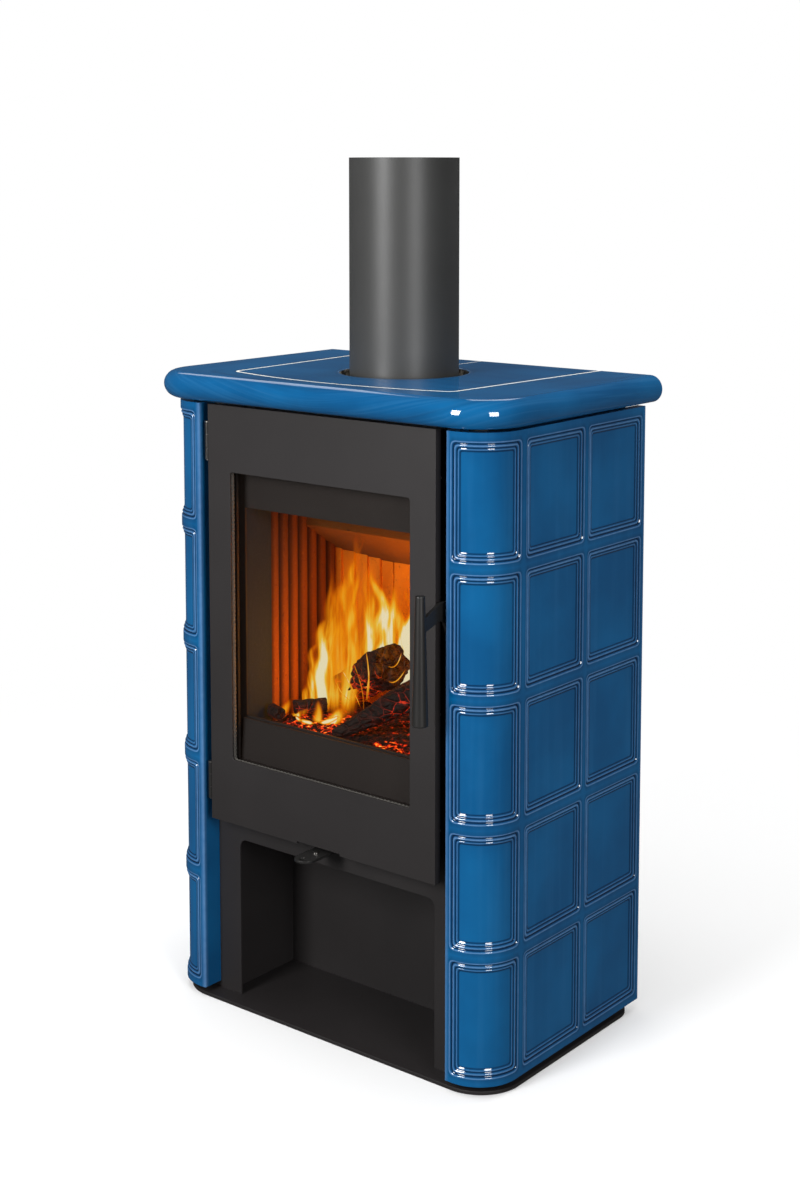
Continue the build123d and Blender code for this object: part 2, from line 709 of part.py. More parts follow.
def make_lining():
    jamb_plan = [(fire_mouth_half, frame_back), (shell_half, frame_back), (shell_half, jamb_depth_y),
                 (lining_half, jamb_depth_y)]
    jamb = plan_prism(jamb_plan, plate_z, lining_top)
    save("firebox_jambs", [jamb, mirrored(jamb)])

    side = box(lining_half, shell_half, jamb_depth_y, lining_back, plate_z, lining_top)
    flutes = int((lining_back - jamb_depth_y) / flute_pitch)
    for index in range(1, flutes):
        y = jamb_depth_y + index * flute_pitch
        side -= box(lining_half - 1, lining_half + flute_depth, y - flute_groove / 2,
                    y + flute_groove / 2, floor_top, lining_top + 1)
    side -= baffle_shape(lining_half + baffle_notch + baffle_slot_gap, baffle_slot_gap)
    save("side_linings", [side, mirrored(side)])

    edge = middle_half + lining_slit
    back = box(edge, shell_half, lining_back, shell_back, plate_z, back_lining_top)
    steps = int((lining_half - edge) / back_step)
    for index in range(1, steps + 1):
        deep = back_recess * (steps + 1 - index) / steps
        back -= box(edge - 1, edge + index * back_step, lining_back - 1, lining_back + deep,
                    floor_top, back_lining_top + 1)
    back = under_baffle(back)
    save("back_lining_sides", [back, mirrored(back)])
    middle = box(-middle_half, middle_half, lining_back, shell_back, plate_z, back_lining_top)
    middle -= box(-middle_half - 1, middle_half + 1, lining_back - 1, lining_back + back_recess,
                  floor_top, back_lining_top + 1)
    save("back_lining_middle", under_baffle(middle))

    side_brick = box(grate_half, lining_half, jamb_depth_y, lining_back, plate_z, floor_top)
    bricks = [box(-fire_mouth_half, fire_mouth_half, frame_back, jamb_depth_y, plate_z, floor_top),
              side_brick, mirrored(side_brick),
              box(-grate_half, grate_half, grate_y[1], lining_back, plate_z, floor_top)]
    save("floor_bricks", bricks)

    save("baffle_lower", baffle_shape(lining_half + baffle_notch, 0))
    y0, y1 = frame_back + seat_gap, lining_back - upper_baffle_back
    z0, z1 = (lining_top + rise for rise in upper_baffle_z)
    plate = side_prism([(y0, z0), (y1, z1), (y1, z1 + upper_baffle_thick), (y0, z0 + upper_baffle_thick)],
                       -shell_half + seat_gap, shell_half - seat_gap)
    save("baffle_upper", plate)

    lean = [(retainer_y[0], retainer_z[0]), (retainer_y[1], retainer_z[1]),
            (retainer_y[1] + sheet, retainer_z[1]), (retainer_y[0] + sheet, retainer_z[0])]
    foot = box(-retainer_half, retainer_half, retainer_y[0], frame_y, retainer_z[0],
               retainer_z[0] + sheet)
    save("log_retainer", side_prism(lean, -retainer_half, retainer_half) + foot)


def make_ash_pan():
    tray = box(-pan_half, pan_half, *pan_y, *pan_z)
    tray -= box(-pan_half + pan_wall, pan_half - pan_wall, pan_y[0] + pan_wall, pan_y[1] - pan_wall,
                pan_z[0] + pan_wall, pan_z[1] + 1)
    pull = box(-pan_pull[0], pan_pull[0], pan_y[0] - pan_pull[1], pan_y[0], pan_z[1] - pan_wall, pan_z[1])
    save("ash_pan", tray + pull)


def log(ends, r, grow=0.0):
    """A split log between two ends, measured from the side bricks and the floor bricks."""
    start, end = [Vector(math.copysign(lining_half, x) - x, jamb_depth_y + y, floor_top + r + z)
                  for x, y, z in ends]
    along = (end - start).normalized() * grow
    return rod_between(start - along, end + along, r + grow)


def make_fuel():
    """The burning load: two split logs, two small pieces and a bed of embers."""
    front = log(log_front_ends, log_front_r)
    around = log(log_front_ends, log_front_r, log_gap)
    back = log(log_back_ends, log_back_r) - around
    small = [log(stick_ends, stick_r) - around, log(twig_ends, twig_r)]
    bed = box(-ember_half, ember_half, *ember_y, floor_top, ember_top)
    bed = chamfer(bed.edges().group_by(Axis.Z)[-1], ember_slope)
    for piece in (front, back, *small):
        bed -= piece
    save("log_front", front)
    save("log_back", back)
    save("logs_small", small)
    save("ember_bed", bed.solids().sort_by(SortBy.VOLUME)[-1])


def make_flue():
    spigot = rod_z(0, flue_y, spigot_base, spigot_top, spigot_r)
    spigot += rod_z(0, flue_y, spigot_base, spigot_base + sheet, spigot_flange)
    spigot -= rod_z(0, flue_y, spigot_base - 1, spigot_top + 1, spigot_bore)
    spigot -= rod_z(0, flue_y, pipe_foot, spigot_top + 1, spigot_socket)
    save("flue_spigot", spigot)
    pipe = rod_z(0, flue_y, pipe_foot, pipe_top, pipe_r)
    pipe -= rod_z(0, flue_y, pipe_foot - 1, pipe_top + 1, pipe_r - pipe_wall)
    save("flue_pipe", pipe)


# ---- door ------------------------------------------------------------------------------
def ring(half_out, z_out, half_in, z_in, y0, y1):
    return box(-half_out, half_out, y0, y1, *z_out) - box(-half_in, half_in, y0 - 1, y1 + 1, *z_in)


def make_door():
    skin = box(-door_half, door_half, door_front, door_front + door_flange, *door_z)
    skin -= box(-door_half + door_sheet, door_half - door_sheet, bar_y, door_front + door_flange + 1,
                door_z[0] + door_sheet, door_z[1] - door_sheet)
    window = box(-window_half, window_half, door_front - 1, bar_y + 1, *window_z)
    skin -= fillet(window.edges().filter_by(Axis.Y), window_corner)
    skin -= box(-notch_half, notch_half, door_front - 1, door_front + door_flange + 1,
                door_z[0] - 1, door_z[0] + notch_height)
    save("door_panel", skin)

    bar_in = bar_outer - bar_width
    screws, holes = [], []
    for x in (-bar_outer + bar_width / 2, bar_outer - bar_width / 2):
        for z in spread(bar_z[0] + screw_margin, bar_z[1] - screw_margin, screw_rows):
            screws.append(rod_y(x, z, seal_y - screw_length, seal_y, screw_r)
                          + rod_y(x, z, seal_y, seal_y + screw_head, screw_head_r))
            holes.append(rod_y(x, z, seal_y - screw_length, seal_y + 1, screw_r))
    bars = ring(bar_outer, bar_z, bar_in, (bar_z[0] + bar_width, bar_z[1] - bar_width), bar_y, clamp_y)
    clamp = ring(bar_outer, bar_z, clamp_half, (window_z[0] - clamp_lap, window_z[1] + clamp_lap),
                 clamp_y, seal_y)
    for hole in holes:
        bars -= hole
        clamp -= hole
    save("door_stiffener", bars)
    save("glass_clamp", clamp)
    save("clamp_screws", screws)

    save("door_glass", box(-window_half - glass_lap, window_half + glass_lap, glass_y, clamp_y,
                           window_z[0] - glass_lap, window_z[1] + glass_lap))
    save("glass_gasket", rope(window_half + gasket_d / 2, window_z[0] - gasket_d / 2,
                              window_z[1] + gasket_d / 2, bar_y + gasket_d / 2, gasket_d / 2,
                              window_corner + gasket_d / 2))
    seal_r = (frame_y - seal_gap - seal_y) / 2
    save("door_seal", rope(seal_half, bar_z[0] + seal_margin, bar_z[1] - seal_margin, seal_y + seal_r,
                           seal_r, seal_corner))


def rope(half, z0, z1, y, r, corner):
    """A round seal along a rounded rectangle in a plane across Y."""
    arc = corner * (1 - math.sin(math.pi / 4))
    x = half - corner
    low, high = z0 + corner, z1 - corner
    path = Line((0, y, z0), (x, y, z0))
    path += ThreePointArc((x, y, z0), (half - arc, y, z0 + arc), (half, y, low))
    path += Line((half, y, low), (half, y, high))
    path += ThreePointArc((half, y, high), (half - arc, y, z1 - arc), (x, y, z1))
    path += Line((x, y, z1), (0, y, z1))
    profile = Plane(origin=(0, y, z0), z_dir=(1, 0, 0)) * Circle(r)
    half_ring = sweep(profile, path)
    return half_ring + mirrored(half_ring)


def make_hinges():
    eyes, brackets, pins = [], [], []
    for z in eye_z:
        low, high = z - eye_height / 2, z + eye_height / 2
        eye = rod_z(hinge_x, hinge_y, low, high, hinge_r)
        eye += box(hinge_x, -door_half, hinge_y - hinge_web / 2,
                   hinge_y + hinge_web / 2, low, high)
        eyes.append(eye - rod_z(hinge_x, hinge_y, low - 1, high + 1, hinge_pin_r + running))
        foot, head = low - knuckle_gap - knuckle, high + knuckle_gap + knuckle
        for z0, z1 in ((foot, low - knuckle_gap), (high + knuckle_gap, head)):
            leaf = rod_z(hinge_x, hinge_y, z0, z1, hinge_r)
            leaf += box(hinge_x - hinge_r, hinge_x - hinge_r + hinge_web, hinge_y, frame_y, z0, z1)
            brackets.append(leaf - rod_z(hinge_x, hinge_y, z0 - 1, z1 + 1, hinge_pin_r + running))
        pins.append(rod_z(hinge_x, hinge_y, foot - 1, head, hinge_pin_r)
                    + rod_z(hinge_x, hinge_y, head, head + hinge_head, hinge_r))
    save("hinge_eyes", eyes)
    save("hinge_brackets", brackets)
    save("hinge_pins", pins)


# ---- latch lever -----------------------------------------------------------------------
def make_latch():
    x0, x1 = lever_x - lever_thick / 2, lever_x + lever_thick / 2
    outline = [(grip_y, lever_z + z) for z in lever_grip_edge]
    outline += [(lever_y + y, lever_z + z) for y, z in lever_outline]
    arm = side_prism(outline, x0, x1)
    arm -= rod_x(lever_y, lever_z, x0 - 1, x1 + 1, lever_pin_r + running)
    low, high = grip_z
    grip = Pos(lever_x, grip_y, (low + high) / 2) * Cone(grip_r_low, grip_r_top, high - low)
    grip = fillet(grip.edges(), grip_edge)
    save("latch_lever", arm)
    save("handle_grip", grip - side_prism(outline, x0, x1))

    pin = rod_x(lever_y, lever_z, bar_outer, x0 - seat_gap, lever_boss_r)
    pin += rod_x(lever_y, lever_z, x0 - seat_gap, x1 + seat_gap, lever_pin_r)
    pin += rod_x(lever_y, lever_z, x1 + seat_gap, x1 + seat_gap + lever_head, lever_head_r)
    save("lever_pin", pin)

    plate = box(keeper_x - keeper_foot, keeper_x + keeper_thick, frame_y - keeper_thick, frame_y, *keeper_z)
    lug = box(keeper_x, keeper_x + keeper_thick, frame_y - keeper_thick - keeper_reach, frame_y,
              *keeper_z)
    save("latch_keeper", plate + lug)


# ---- air control -----------------------------------------------------------------------
def make_air_control():
    z1 = tongue_z + tongue_thick
    tongue = box(-tongue_half, tongue_half, tongue_tip + tongue_half, tongue_weld, tongue_z, z1)
    tongue += rod_z(0, tongue_tip + tongue_half, tongue_z, z1, tongue_half)
    tongue -= rod_z(0, finger_y, tongue_z - 1, z1 + 1, finger_r)
    tongue -= rod_z(0, rivet_y, tongue_z - 1, z1 + 1, rivet_r)
    save("air_lever", tongue)
    plate = box(-slide_half, slide_half, tongue_weld, slide_back, tongue_z, z1)
    for slot in air_slots(tongue_z - 1, z1 + 1):
        plate -= slot
    save("air_slide_plate", plate)
    rivet = rod_z(0, rivet_y, tongue_z, z1, rivet_r)
    rivet += rod_z(0, rivet_y, z1, z1 + rivet_head, rivet_head_r)
    rivet += rod_z(0, rivet_y, tongue_z - rivet_head, tongue_z, rivet_head_r)
    save("lever_rivet", rivet)


os.makedirs("parts", exist_ok=True)
make_tiles()
make_top()
make_body()
make_store()
make_air_path()
make_firebox()
make_ash_pan()
make_fuel()
make_flue()
make_door()
make_hinges()
make_latch()
make_air_control()
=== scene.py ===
import math

import bmesh
import bpy
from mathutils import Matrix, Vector, noise


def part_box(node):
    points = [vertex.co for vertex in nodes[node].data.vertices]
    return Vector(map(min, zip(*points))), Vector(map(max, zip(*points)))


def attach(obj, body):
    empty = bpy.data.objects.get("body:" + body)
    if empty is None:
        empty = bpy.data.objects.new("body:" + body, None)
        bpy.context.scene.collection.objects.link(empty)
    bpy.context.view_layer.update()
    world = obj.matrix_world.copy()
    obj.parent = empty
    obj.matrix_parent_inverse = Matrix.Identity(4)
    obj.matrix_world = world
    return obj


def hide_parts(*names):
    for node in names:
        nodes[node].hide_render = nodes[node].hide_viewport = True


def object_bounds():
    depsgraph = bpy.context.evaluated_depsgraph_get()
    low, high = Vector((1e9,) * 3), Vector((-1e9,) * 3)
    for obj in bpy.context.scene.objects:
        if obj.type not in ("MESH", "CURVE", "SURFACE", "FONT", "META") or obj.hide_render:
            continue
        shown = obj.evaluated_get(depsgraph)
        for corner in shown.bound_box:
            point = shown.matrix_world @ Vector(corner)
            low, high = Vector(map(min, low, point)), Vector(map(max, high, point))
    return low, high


# Tiled wood stove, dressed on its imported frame. Metres, +Z up, the door faces -Y.
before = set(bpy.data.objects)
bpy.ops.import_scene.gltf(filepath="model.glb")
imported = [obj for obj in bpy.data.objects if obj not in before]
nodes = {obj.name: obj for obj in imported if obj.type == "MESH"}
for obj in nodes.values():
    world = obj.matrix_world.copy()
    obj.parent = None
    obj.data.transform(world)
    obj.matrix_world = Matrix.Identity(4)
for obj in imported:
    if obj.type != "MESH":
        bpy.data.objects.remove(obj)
scene = bpy.context.scene
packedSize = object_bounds()
mm = 0.001
print("frame loaded:", len(nodes), "nodes")


def rgb(red, green, blue):  # screen colour 0 to 255, to the linear value that nodes take
    def linear(c):
        c /= 255
        return c / 12.92 if c <= 0.04045 else ((c + 0.055) / 1.055) ** 2.4
    return (linear(red), linear(green), linear(blue), 1.0)


class Signal:  # a socket that can be added, multiplied and so on
    def __init__(self, finish, socket):
        self.finish, self.socket = finish, socket

    def math(self, operation, *values):
        return self.finish.add("Math", {"operation": operation}, dict(enumerate(values)))

    def __add__(self, other):
        return self.math("ADD", self, other)

    __radd__ = __add__

    def __sub__(self, other):
        return self.math("SUBTRACT", self, other)

    def __rsub__(self, other):
        return self.math("SUBTRACT", other, self)

    def __mul__(self, other):
        return self.math("MULTIPLY", self, other)

    __rmul__ = __mul__

    def __pow__(self, other):
        return self.math("POWER", self, other)

    def between(self, low, high):  # 0 below low, 1 above high, soft in between
        return self.finish.add("MapRange", {"interpolation_type": "SMOOTHSTEP"},
                               {"Value": self, "From Min": low, "From Max": high})


class Finish:  # one material and its nodes
    def __init__(self, name, tree=None):
        if tree is None:
            self.material = bpy.data.materials.new(name)
            self.material.use_nodes = True
            tree = self.material.node_tree
        self.tree = tree
        self.shader = tree.nodes.get("Principled BSDF")

    def add(self, kind, settings=None, values=None, output=0):
        node = self.tree.nodes.new("ShaderNode" + kind)
        for key, value in (settings or {}).items():
            if key == "stops":
                self.fillRamp(node.color_ramp, value)
            else:
                setattr(node, key, value)
        for key, value in (values or {}).items():
            self.feed(node.inputs[key], value)
        return Signal(self, node.outputs[output])

    def fillRamp(self, ramp, stops):
        for place, colour in stops[2:]:
            ramp.elements.new(place)
        for element, (place, colour) in zip(ramp.elements, stops):
            element.position, element.color = place, colour

    def feed(self, socket, value):
        if isinstance(value, Signal):
            self.tree.links.new(value.socket, socket)
        else:
            socket.default_value = value

    def set(self, **values):  # sockets of the surface shader, with _ for a space
        for key, value in values.items():
            self.feed(self.shader.inputs[key.replace("_", " ")], value)

    def place(self, stretch=(1, 1, 1), source="Object"):  # coordinates, stretched
        spot = self.add("TexCoord", {}, {}, source)
        return self.add("VectorMath", {"operation": "MULTIPLY"}, {0: spot, 1: stretch})

    def noise(self, scale, detail=3.0, stretch=(1, 1, 1), source="Object", warp=0.0):
        return self.add("TexNoise", {}, {"Vector": self.place(stretch, source), "Scale": scale,
                                         "Detail": detail, "Distortion": warp})

    def cracks(self, scale, stretch=(1, 1, 1)):  # distance to the edges of broken cells
        return self.add("TexVoronoi", {"feature": "DISTANCE_TO_EDGE"},
                        {"Vector": self.place(stretch), "Scale": scale})

    def mix(self, factor, first, second):
        return self.add("Mix", {"data_type": "RGBA"}, {0: factor, 6: first, 7: second}, 2)

    def value(self, name):  # a number stored on the mesh
        return self.add("Attribute", {"attribute_name": name}, {}, "Fac")

    def bump(self, height, strength, distance):
        self.set(Normal=self.add("Bump", {}, {"Height": height, "Strength": strength,
                                              "Distance": distance}))


# the pale colour: glaze breaking thin over ridges and arrises, partly a painted highlight; the darkest
# colour: glaze pooled in grooves, partly painted shade
glazeLook = {"deep": rgb(6, 80, 130), "bright": rgb(10, 93, 146), "thin": rgb(122, 160, 206),
             "pooled": rgb(0, 22, 54), "streak": rgb(44, 110, 160), "roughness": 0.02, "index": 1.8,
             "flatGloss": 0.3}


def makeGlaze(name, brushed):
    look = glazeLook
    glaze = Finish(name)
    cloud = glaze.noise(7, 4)
    colour = glaze.mix(cloud.between(0.35, 0.68), look["deep"], look["bright"])
    if brushed:  # long strokes of the glazing brush
        stroke = glaze.noise(1, 6, (5, 190, 1), "UV", 0.4)
        wide = glaze.noise(1, 3, (2, 45, 1), "UV", 0.2)
        colour = glaze.mix(stroke.between(0.42, 0.75) * 0.4, colour, look["streak"])
        colour = glaze.mix(wide.between(0.52, 0.78) * 0.35, colour, look["pooled"])
    else:
        stroke = glaze.noise(60, 4, (1, 1, 0.05))
        colour = glaze.mix(stroke.between(0.45, 0.8) * 0.22, colour, look["streak"])
    thin, pooled = glaze.value("thin"), glaze.value("pooled")
    broken = glaze.noise(90, 3)
    # darker in the grooves where the glaze pools, partly painted shade
    colour = glaze.mix(pooled * 0.95, colour, look["pooled"])
    # paler over ridges and arrises where the glaze breaks thin, partly a painted highlight
    colour = glaze.mix(thin * (0.35 + 0.6 * broken), colour, look["thin"])
    grazing = glaze.add("LayerWeight", {}, {"Blend": 0.5}, "Facing")
    glaze.set(Base_Color=colour, Roughness=0.3 + 0.1 * stroke, Specular_IOR_Level=0.0,
              Coat_Weight=1 - look["flatGloss"] * grazing.between(0.5, 0.95), Coat_IOR=look["index"],
              Coat_Roughness=look["roughness"])
    glaze.bump(glaze.noise(38, 2), 0.08, 0.0012)
    return glaze.material


# body is the clay of the flue hole's wall, made dark as painted shade inside the hole
clayLook = {"joint": rgb(255, 252, 244), "jointDirt": rgb(238, 230, 214), "body": rgb(66, 58, 50)}


def makeJoint(name, light, dark, grain):
    joint = Finish(name)
    dirt = joint.noise(120, 5)
    joint.set(Base_Color=joint.mix(dirt.between(0.4, 0.8), light, dark), Roughness=0.85)
    joint.bump(joint.noise(grain, 4), 0.4, 0.0006)
    return joint.material


paintLook = {"body": rgb(34, 31, 31), "worn": rgb(48, 45, 45), "pipe": rgb(56, 56, 55),
             "pipeWorn": rgb(74, 74, 73)}


def makePaint(name, colour, worn, roughness, fleck):
    paint = Finish(name)
    cloud, grain = paint.noise(5, 4), paint.noise(fleck, 3)
    tone = paint.mix(cloud.between(0.3, 0.75) * 0.35 + grain.between(0.55, 0.8) * 0.25, colour, worn)
    paint.set(Base_Color=tone, Roughness=roughness + 0.12 * grain, Metallic=0.0)
    paint.bump(grain, 0.35, 0.00025)
    return paint.material


steelLook = {"bright": rgb(176, 174, 170), "dull": rgb(112, 108, 104), "fitting": rgb(74, 73, 72),
             "fittingDark": rgb(44, 43, 42), "iron": rgb(46, 42, 40), "ironRust": rgb(86, 60, 44)}


def makeMetal(name, light, dark, roughness, stretch, metallic):
    metal = Finish(name)
    lines, cloud = metal.noise(260, 4, stretch), metal.noise(14, 3)
    metal.set(Base_Color=metal.mix(lines * 0.5 + cloud * 0.4, light, dark), Metallic=metallic,
              Roughness=roughness + 0.14 * lines)
    metal.bump(lines, 0.18, 0.0002)
    return metal.material


brickLook = {"light": rgb(218, 132, 0), "dark": rgb(190, 104, 0), "flake": rgb(232, 160, 16),
             "soot": rgb(40, 18, 0)}
sideLook = {"light": rgb(166, 88, 0), "dark": rgb(134, 64, 0), "flake": rgb(196, 112, 8),
            "soot": rgb(26, 8, 0)}  # side bricks, redder, with painted shade darkening them towards the top
baffleLook = {"light": rgb(112, 68, 0), "dark": rgb(84, 48, 0), "flake": rgb(140, 90, 10),
              "soot": rgb(24, 12, 2)}
jambLook = {"light": rgb(36, 46, 66), "dark": rgb(28, 36, 52), "flake": rgb(52, 60, 76),
            "soot": rgb(30, 32, 38)}  # brick painted dark beside the door


def makeBrick(name, look):
    brick = Finish(name)
    cloud, grain, flake = brick.noise(9, 5), brick.noise(170, 4), brick.noise(420, 2)
    colour = brick.mix(cloud, look["light"], look["dark"])
    colour = brick.mix(flake.between(0.62, 0.72) * 0.6, colour, look["flake"])
    colour = brick.mix(grain.between(0.62, 0.74) * 0.5, colour, look["soot"])
    # painted shade: darker in the grooves between the reeds and towards the top of the side bricks
    colour = brick.mix(brick.value("groove"), colour, look["soot"])
    brick.set(Base_Color=colour, Roughness=0.92)
    brick.bump(grain, 0.6, 0.0012)
    return brick.material


glassLook = {"tint": (0.93, 0.915, 0.90, 1), "soot": rgb(46, 32, 22), "gloss": 0.02}


def makeGlass():
    glass = Finish("stove_glass")
    film = glass.noise(6, 3)
    haze = film.between(0.5, 0.85)
    facing = glass.add("LayerWeight", {}, {"Blend": 0.5}, "Facing")
    glass.set(Base_Color=glassLook["soot"], Roughness=glassLook["gloss"] + 0.05 * haze)
    clear = glass.add("BsdfTransparent", {}, {"Color": glassLook["tint"]})
    pane = glass.add("MixShader", {}, {0: 0.035 + 0.6 * facing ** 4 + 0.012 * haze, 1: clear,
                                       2: Signal(glass, glass.shader.outputs[0])})
    glass.feed(glass.tree.nodes["Material Output"].inputs["Surface"], pane)
    return glass.material


cordLook = {"dark": rgb(38, 37, 36), "light": rgb(112, 108, 102)}


def makeCordFinish():
    cord = Finish("seal_cord")
    weave = cord.noise(700, 3)
    cord.set(Base_Color=cord.mix(weave, cordLook["dark"], cordLook["light"]), Roughness=0.8)
    cord.bump(weave, 0.5, 0.0006)
    return cord.material


fireLook = {"char": rgb(8, 4, 3), "ash": rgb(44, 22, 12), "bark": rgb(32, 13, 6),
            "glowRed": rgb(230, 44, 6), "glowOrange": rgb(255, 128, 24), "glowYellow": rgb(255, 214, 96)}


def makeChar():
    look = fireLook
    char = Finish("charred_wood")
    block = char.cracks(74, (0.55, 1, 1))
    fine, fibre = char.noise(150, 5), char.noise(120, 4, (0.12, 1, 1))
    heat = char.value("hotness")
    skin = char.mix(fibre.between(0.42, 0.7), look["char"], look["bark"])
    skin = char.mix(fine.between(0.62, 0.78) * 0.5, skin, look["ash"])
    crack = 1 - block.between(0.0, 0.055)
    glow = heat * (crack * 0.42 + fine.between(0.56, 0.66) * 0.3 + fibre.between(0.54, 0.62) * 0.3)
    # a faint red glow in every crack, also where the wood is not hot: painted light standing in for the
    # fire's light on the logs
    glow = glow + crack * 0.08
    colour = char.add("ValToRGB", {"stops": [(0.0, rgb(10, 1, 0)), (0.2, rgb(60, 8, 0)),
                                             (0.5, look["glowRed"]), (0.8, look["glowOrange"]),
                                             (1.0, look["glowYellow"])]}, {"Fac": glow})
    char.set(Base_Color=skin, Roughness=0.8, Emission_Strength=1.0, Emission_Color=colour)
    char.bump(block.between(0.0, 0.2) + 0.5 * fibre, 0.8, 0.003)
    return char.material


def makeEmbers():
    look = fireLook
    ember = Finish("embers")
    cell, fine = ember.cracks(95), ember.noise(130, 4)
    heat = ember.value("hotness")
    skin = ember.mix(fine.between(0.5, 0.8), look["char"], look["ash"])
    glow = (0.03 + heat) * (0.02 + 0.3 * (1 - cell.between(0.0, 0.16)) + (fine - 0.5) * 3.2)
    colour = ember.add("ValToRGB", {"stops": [(0.0, (0, 0, 0, 1)), (0.2, rgb(60, 6, 0)),
                                              (0.45, look["glowRed"]), (0.7, look["glowOrange"]),
                                              (0.95, look["glowYellow"])]}, {"Fac": glow})
    ember.set(Base_Color=skin, Roughness=0.9, Emission_Color=colour, Emission_Strength=1.6)
    ember.bump(cell.between(0.0, 0.3), 0.9, 0.004)
    return ember.material


def makeFlame():
    flame = Finish("flame")
    core = flame.value("core")
    lick = flame.noise(30, 3, (1.0, 1.0, 0.22), "Object", 1.2)
    wisp = flame.noise(85, 3, (1.0, 1.0, 0.14), "Object", 0.8)
    body = core * (0.5 + 0.75 * lick.between(0.28, 0.7)) + core * (wisp - 0.5) * 1.3
    colour = flame.add("ValToRGB", {"stops": [(0.0, rgb(224, 76, 0)), (0.25, rgb(252, 124, 2)),
                                              (0.52, rgb(255, 164, 20)), (0.8, rgb(255, 214, 74)),
                                              (1.0, rgb(255, 248, 206))]}, {"Fac": body})
    flame.set(Base_Color=(0, 0, 0, 1), Roughness=1.0, Specular_IOR_Level=0.0, Emission_Color=colour,
              Emission_Strength=1.0, Alpha=body.between(0.02, 0.62) * 0.92)
    return flame.material


finishes = {
    "glazed_ceramic": makeGlaze("glazed_ceramic", False),
    "joint_compound": makeJoint("joint_compound", clayLook["joint"], clayLook["jointDirt"], 300),
    "stove_paint": makePaint("stove_paint", paintLook["body"], paintLook["worn"], 0.46, 900),
    "pipe_paint": makePaint("pipe_paint", paintLook["pipe"], paintLook["pipeWorn"], 0.38, 1200),
    "bright_steel": makeMetal("bright_steel", steelLook["bright"], steelLook["dull"], 0.28,
                              (1, 1, 0.1), 1.0),
    "fittings": makeMetal("fittings", steelLook["fitting"], steelLook["fittingDark"], 0.3,
                          (1, 1, 0.06), 0.7),
    "cast_iron": makeMetal("cast_iron", steelLook["iron"], steelLook["ironRust"], 0.65, (1, 1, 1), 0.3),
    "firebrick": makeBrick("firebrick", brickLook),
    "stove_glass": makeGlass(),
    "seal_cord": makeCordFinish(),
    "charred_wood": makeChar(),
    "embers": makeEmbers(),
}
brushedGlaze = makeGlaze("brushed_glaze", True)
darkBrick = makeBrick("dark_brick", jambLook)
sideBrick, baffleBrick = makeBrick("side_brick", sideLook), makeBrick("baffle_brick", baffleLook)
# clay made dark as painted shade, for the flue hole's wall
clayInPaintedShade = makeJoint("clay_in_painted_shade", clayLook["body"], clayLook["jointDirt"], 500)
flameFinish = makeFlame()
for node in nodes.values():
    for entry in node.material_slots:
        entry.material = finishes[entry.material.name.split(".")[0]]
nodes["firebox_jambs"].material_slots[0].material = darkBrick
nodes["baffle_lower"].material_slots[0].material = baffleBrick
print("finishes made")


def addPiece(name, points, faces, finish, body="root", stands=(), values=None, grain=None,
             second=None, secondFaces=(), smooth=True):
    mesh = bpy.data.meshes.new(name)
    mesh.from_pydata([Vector(p) for p in points], [], faces)
    mesh.materials.append(finish)
    if second:
        mesh.materials.append(second)
        for index in secondFaces:
            mesh.polygons[index].material_index = 1
    for key, numbers in (values or {}).items():
        mesh.attributes.new(key, "FLOAT", "POINT").data.foreach_set("value", numbers)
    if grain:  # surface directions for brush strokes
        layer = mesh.uv_layers.new(name="grain")
        for loop in mesh.loops:
            layer.data[loop.index].uv = grain[loop.vertex_index]
    mesh.polygons.foreach_set("use_smooth", [smooth] * len(mesh.polygons))
    mesh.validate()
    piece = bpy.data.objects.new(name, mesh)
    scene.collection.objects.link(piece)
    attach(piece, body)
    if stands:
        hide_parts(*stands)
    return piece


def sharpen(piece, degrees=40):  # crisp edges where faces turn by more than this
    piece.data.set_sharp_from_angle(angle=math.radians(degrees))


def outward(piece):  # faces look out of the solid
    work = bmesh.new()
    work.from_mesh(piece.data)
    bmesh.ops.recalc_face_normals(work, faces=work.faces)
    work.to_mesh(piece.data)
    work.free()


rounding = {"join": 0.01 * mm, "flat": 0.5, "edge": 35, "segments": 2}  # angles in degrees


def softEdges(name, width):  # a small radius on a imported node's edges
    node = nodes[name]
    weld = node.modifiers.new("join", "WELD")
    weld.merge_threshold = rounding["join"]
    flat = node.modifiers.new("flat", "DECIMATE")
    flat.decimate_type, flat.angle_limit = "DISSOLVE", math.radians(rounding["flat"])
    bevel = node.modifiers.new("edges", "BEVEL")
    bevel.width, bevel.segments, bevel.limit_method = width, rounding["segments"], "ANGLE"
    bevel.angle_limit = math.radians(rounding["edge"])
    node.modifiers.new("even", "WEIGHTED_NORMAL")


def gridFaces(rows, columns, base=0):  # quads over points laid out row by row
    return [(a, a + 1, a + columns + 1, a + columns) for i in range(rows - 1)
            for a in range(base + i * columns, base + (i + 1) * columns - 1)]


def boxOf(name):
    low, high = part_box(name)
    return Vector(low), Vector(high)


tile = {"corner": 58.4 * mm, "wall": 14 * mm, "arris": 3.2 * mm, "legDepth": 31.4 * mm, "leg": 12 * mm,
        "gap": 13.7 * mm, "lowMargin": 10.4 * mm, "topMargin": 11.5 * mm, "startIn": 8 * mm,
        "cornerBack": 63.5 * mm, "cornerGap": 11.3 * mm, "middle": 130.2 * mm, "backGap": 9.7 * mm,
        "backWide": 130.8 * mm, "round": 8.2, "step": 0.65 * mm, "coarse": 9 * mm}
# depth under the tile's face, by distance in from the edge of a panel, both in mm
frameProfile = [(0, 0), (1.2, 0.35), (3.0, 2.4), (5.3, 0.8), (6.9, 1.5), (8.4, 2.8), (9.9, 2.2),
                (12.4, 3.5), (16.5, 3.8)]
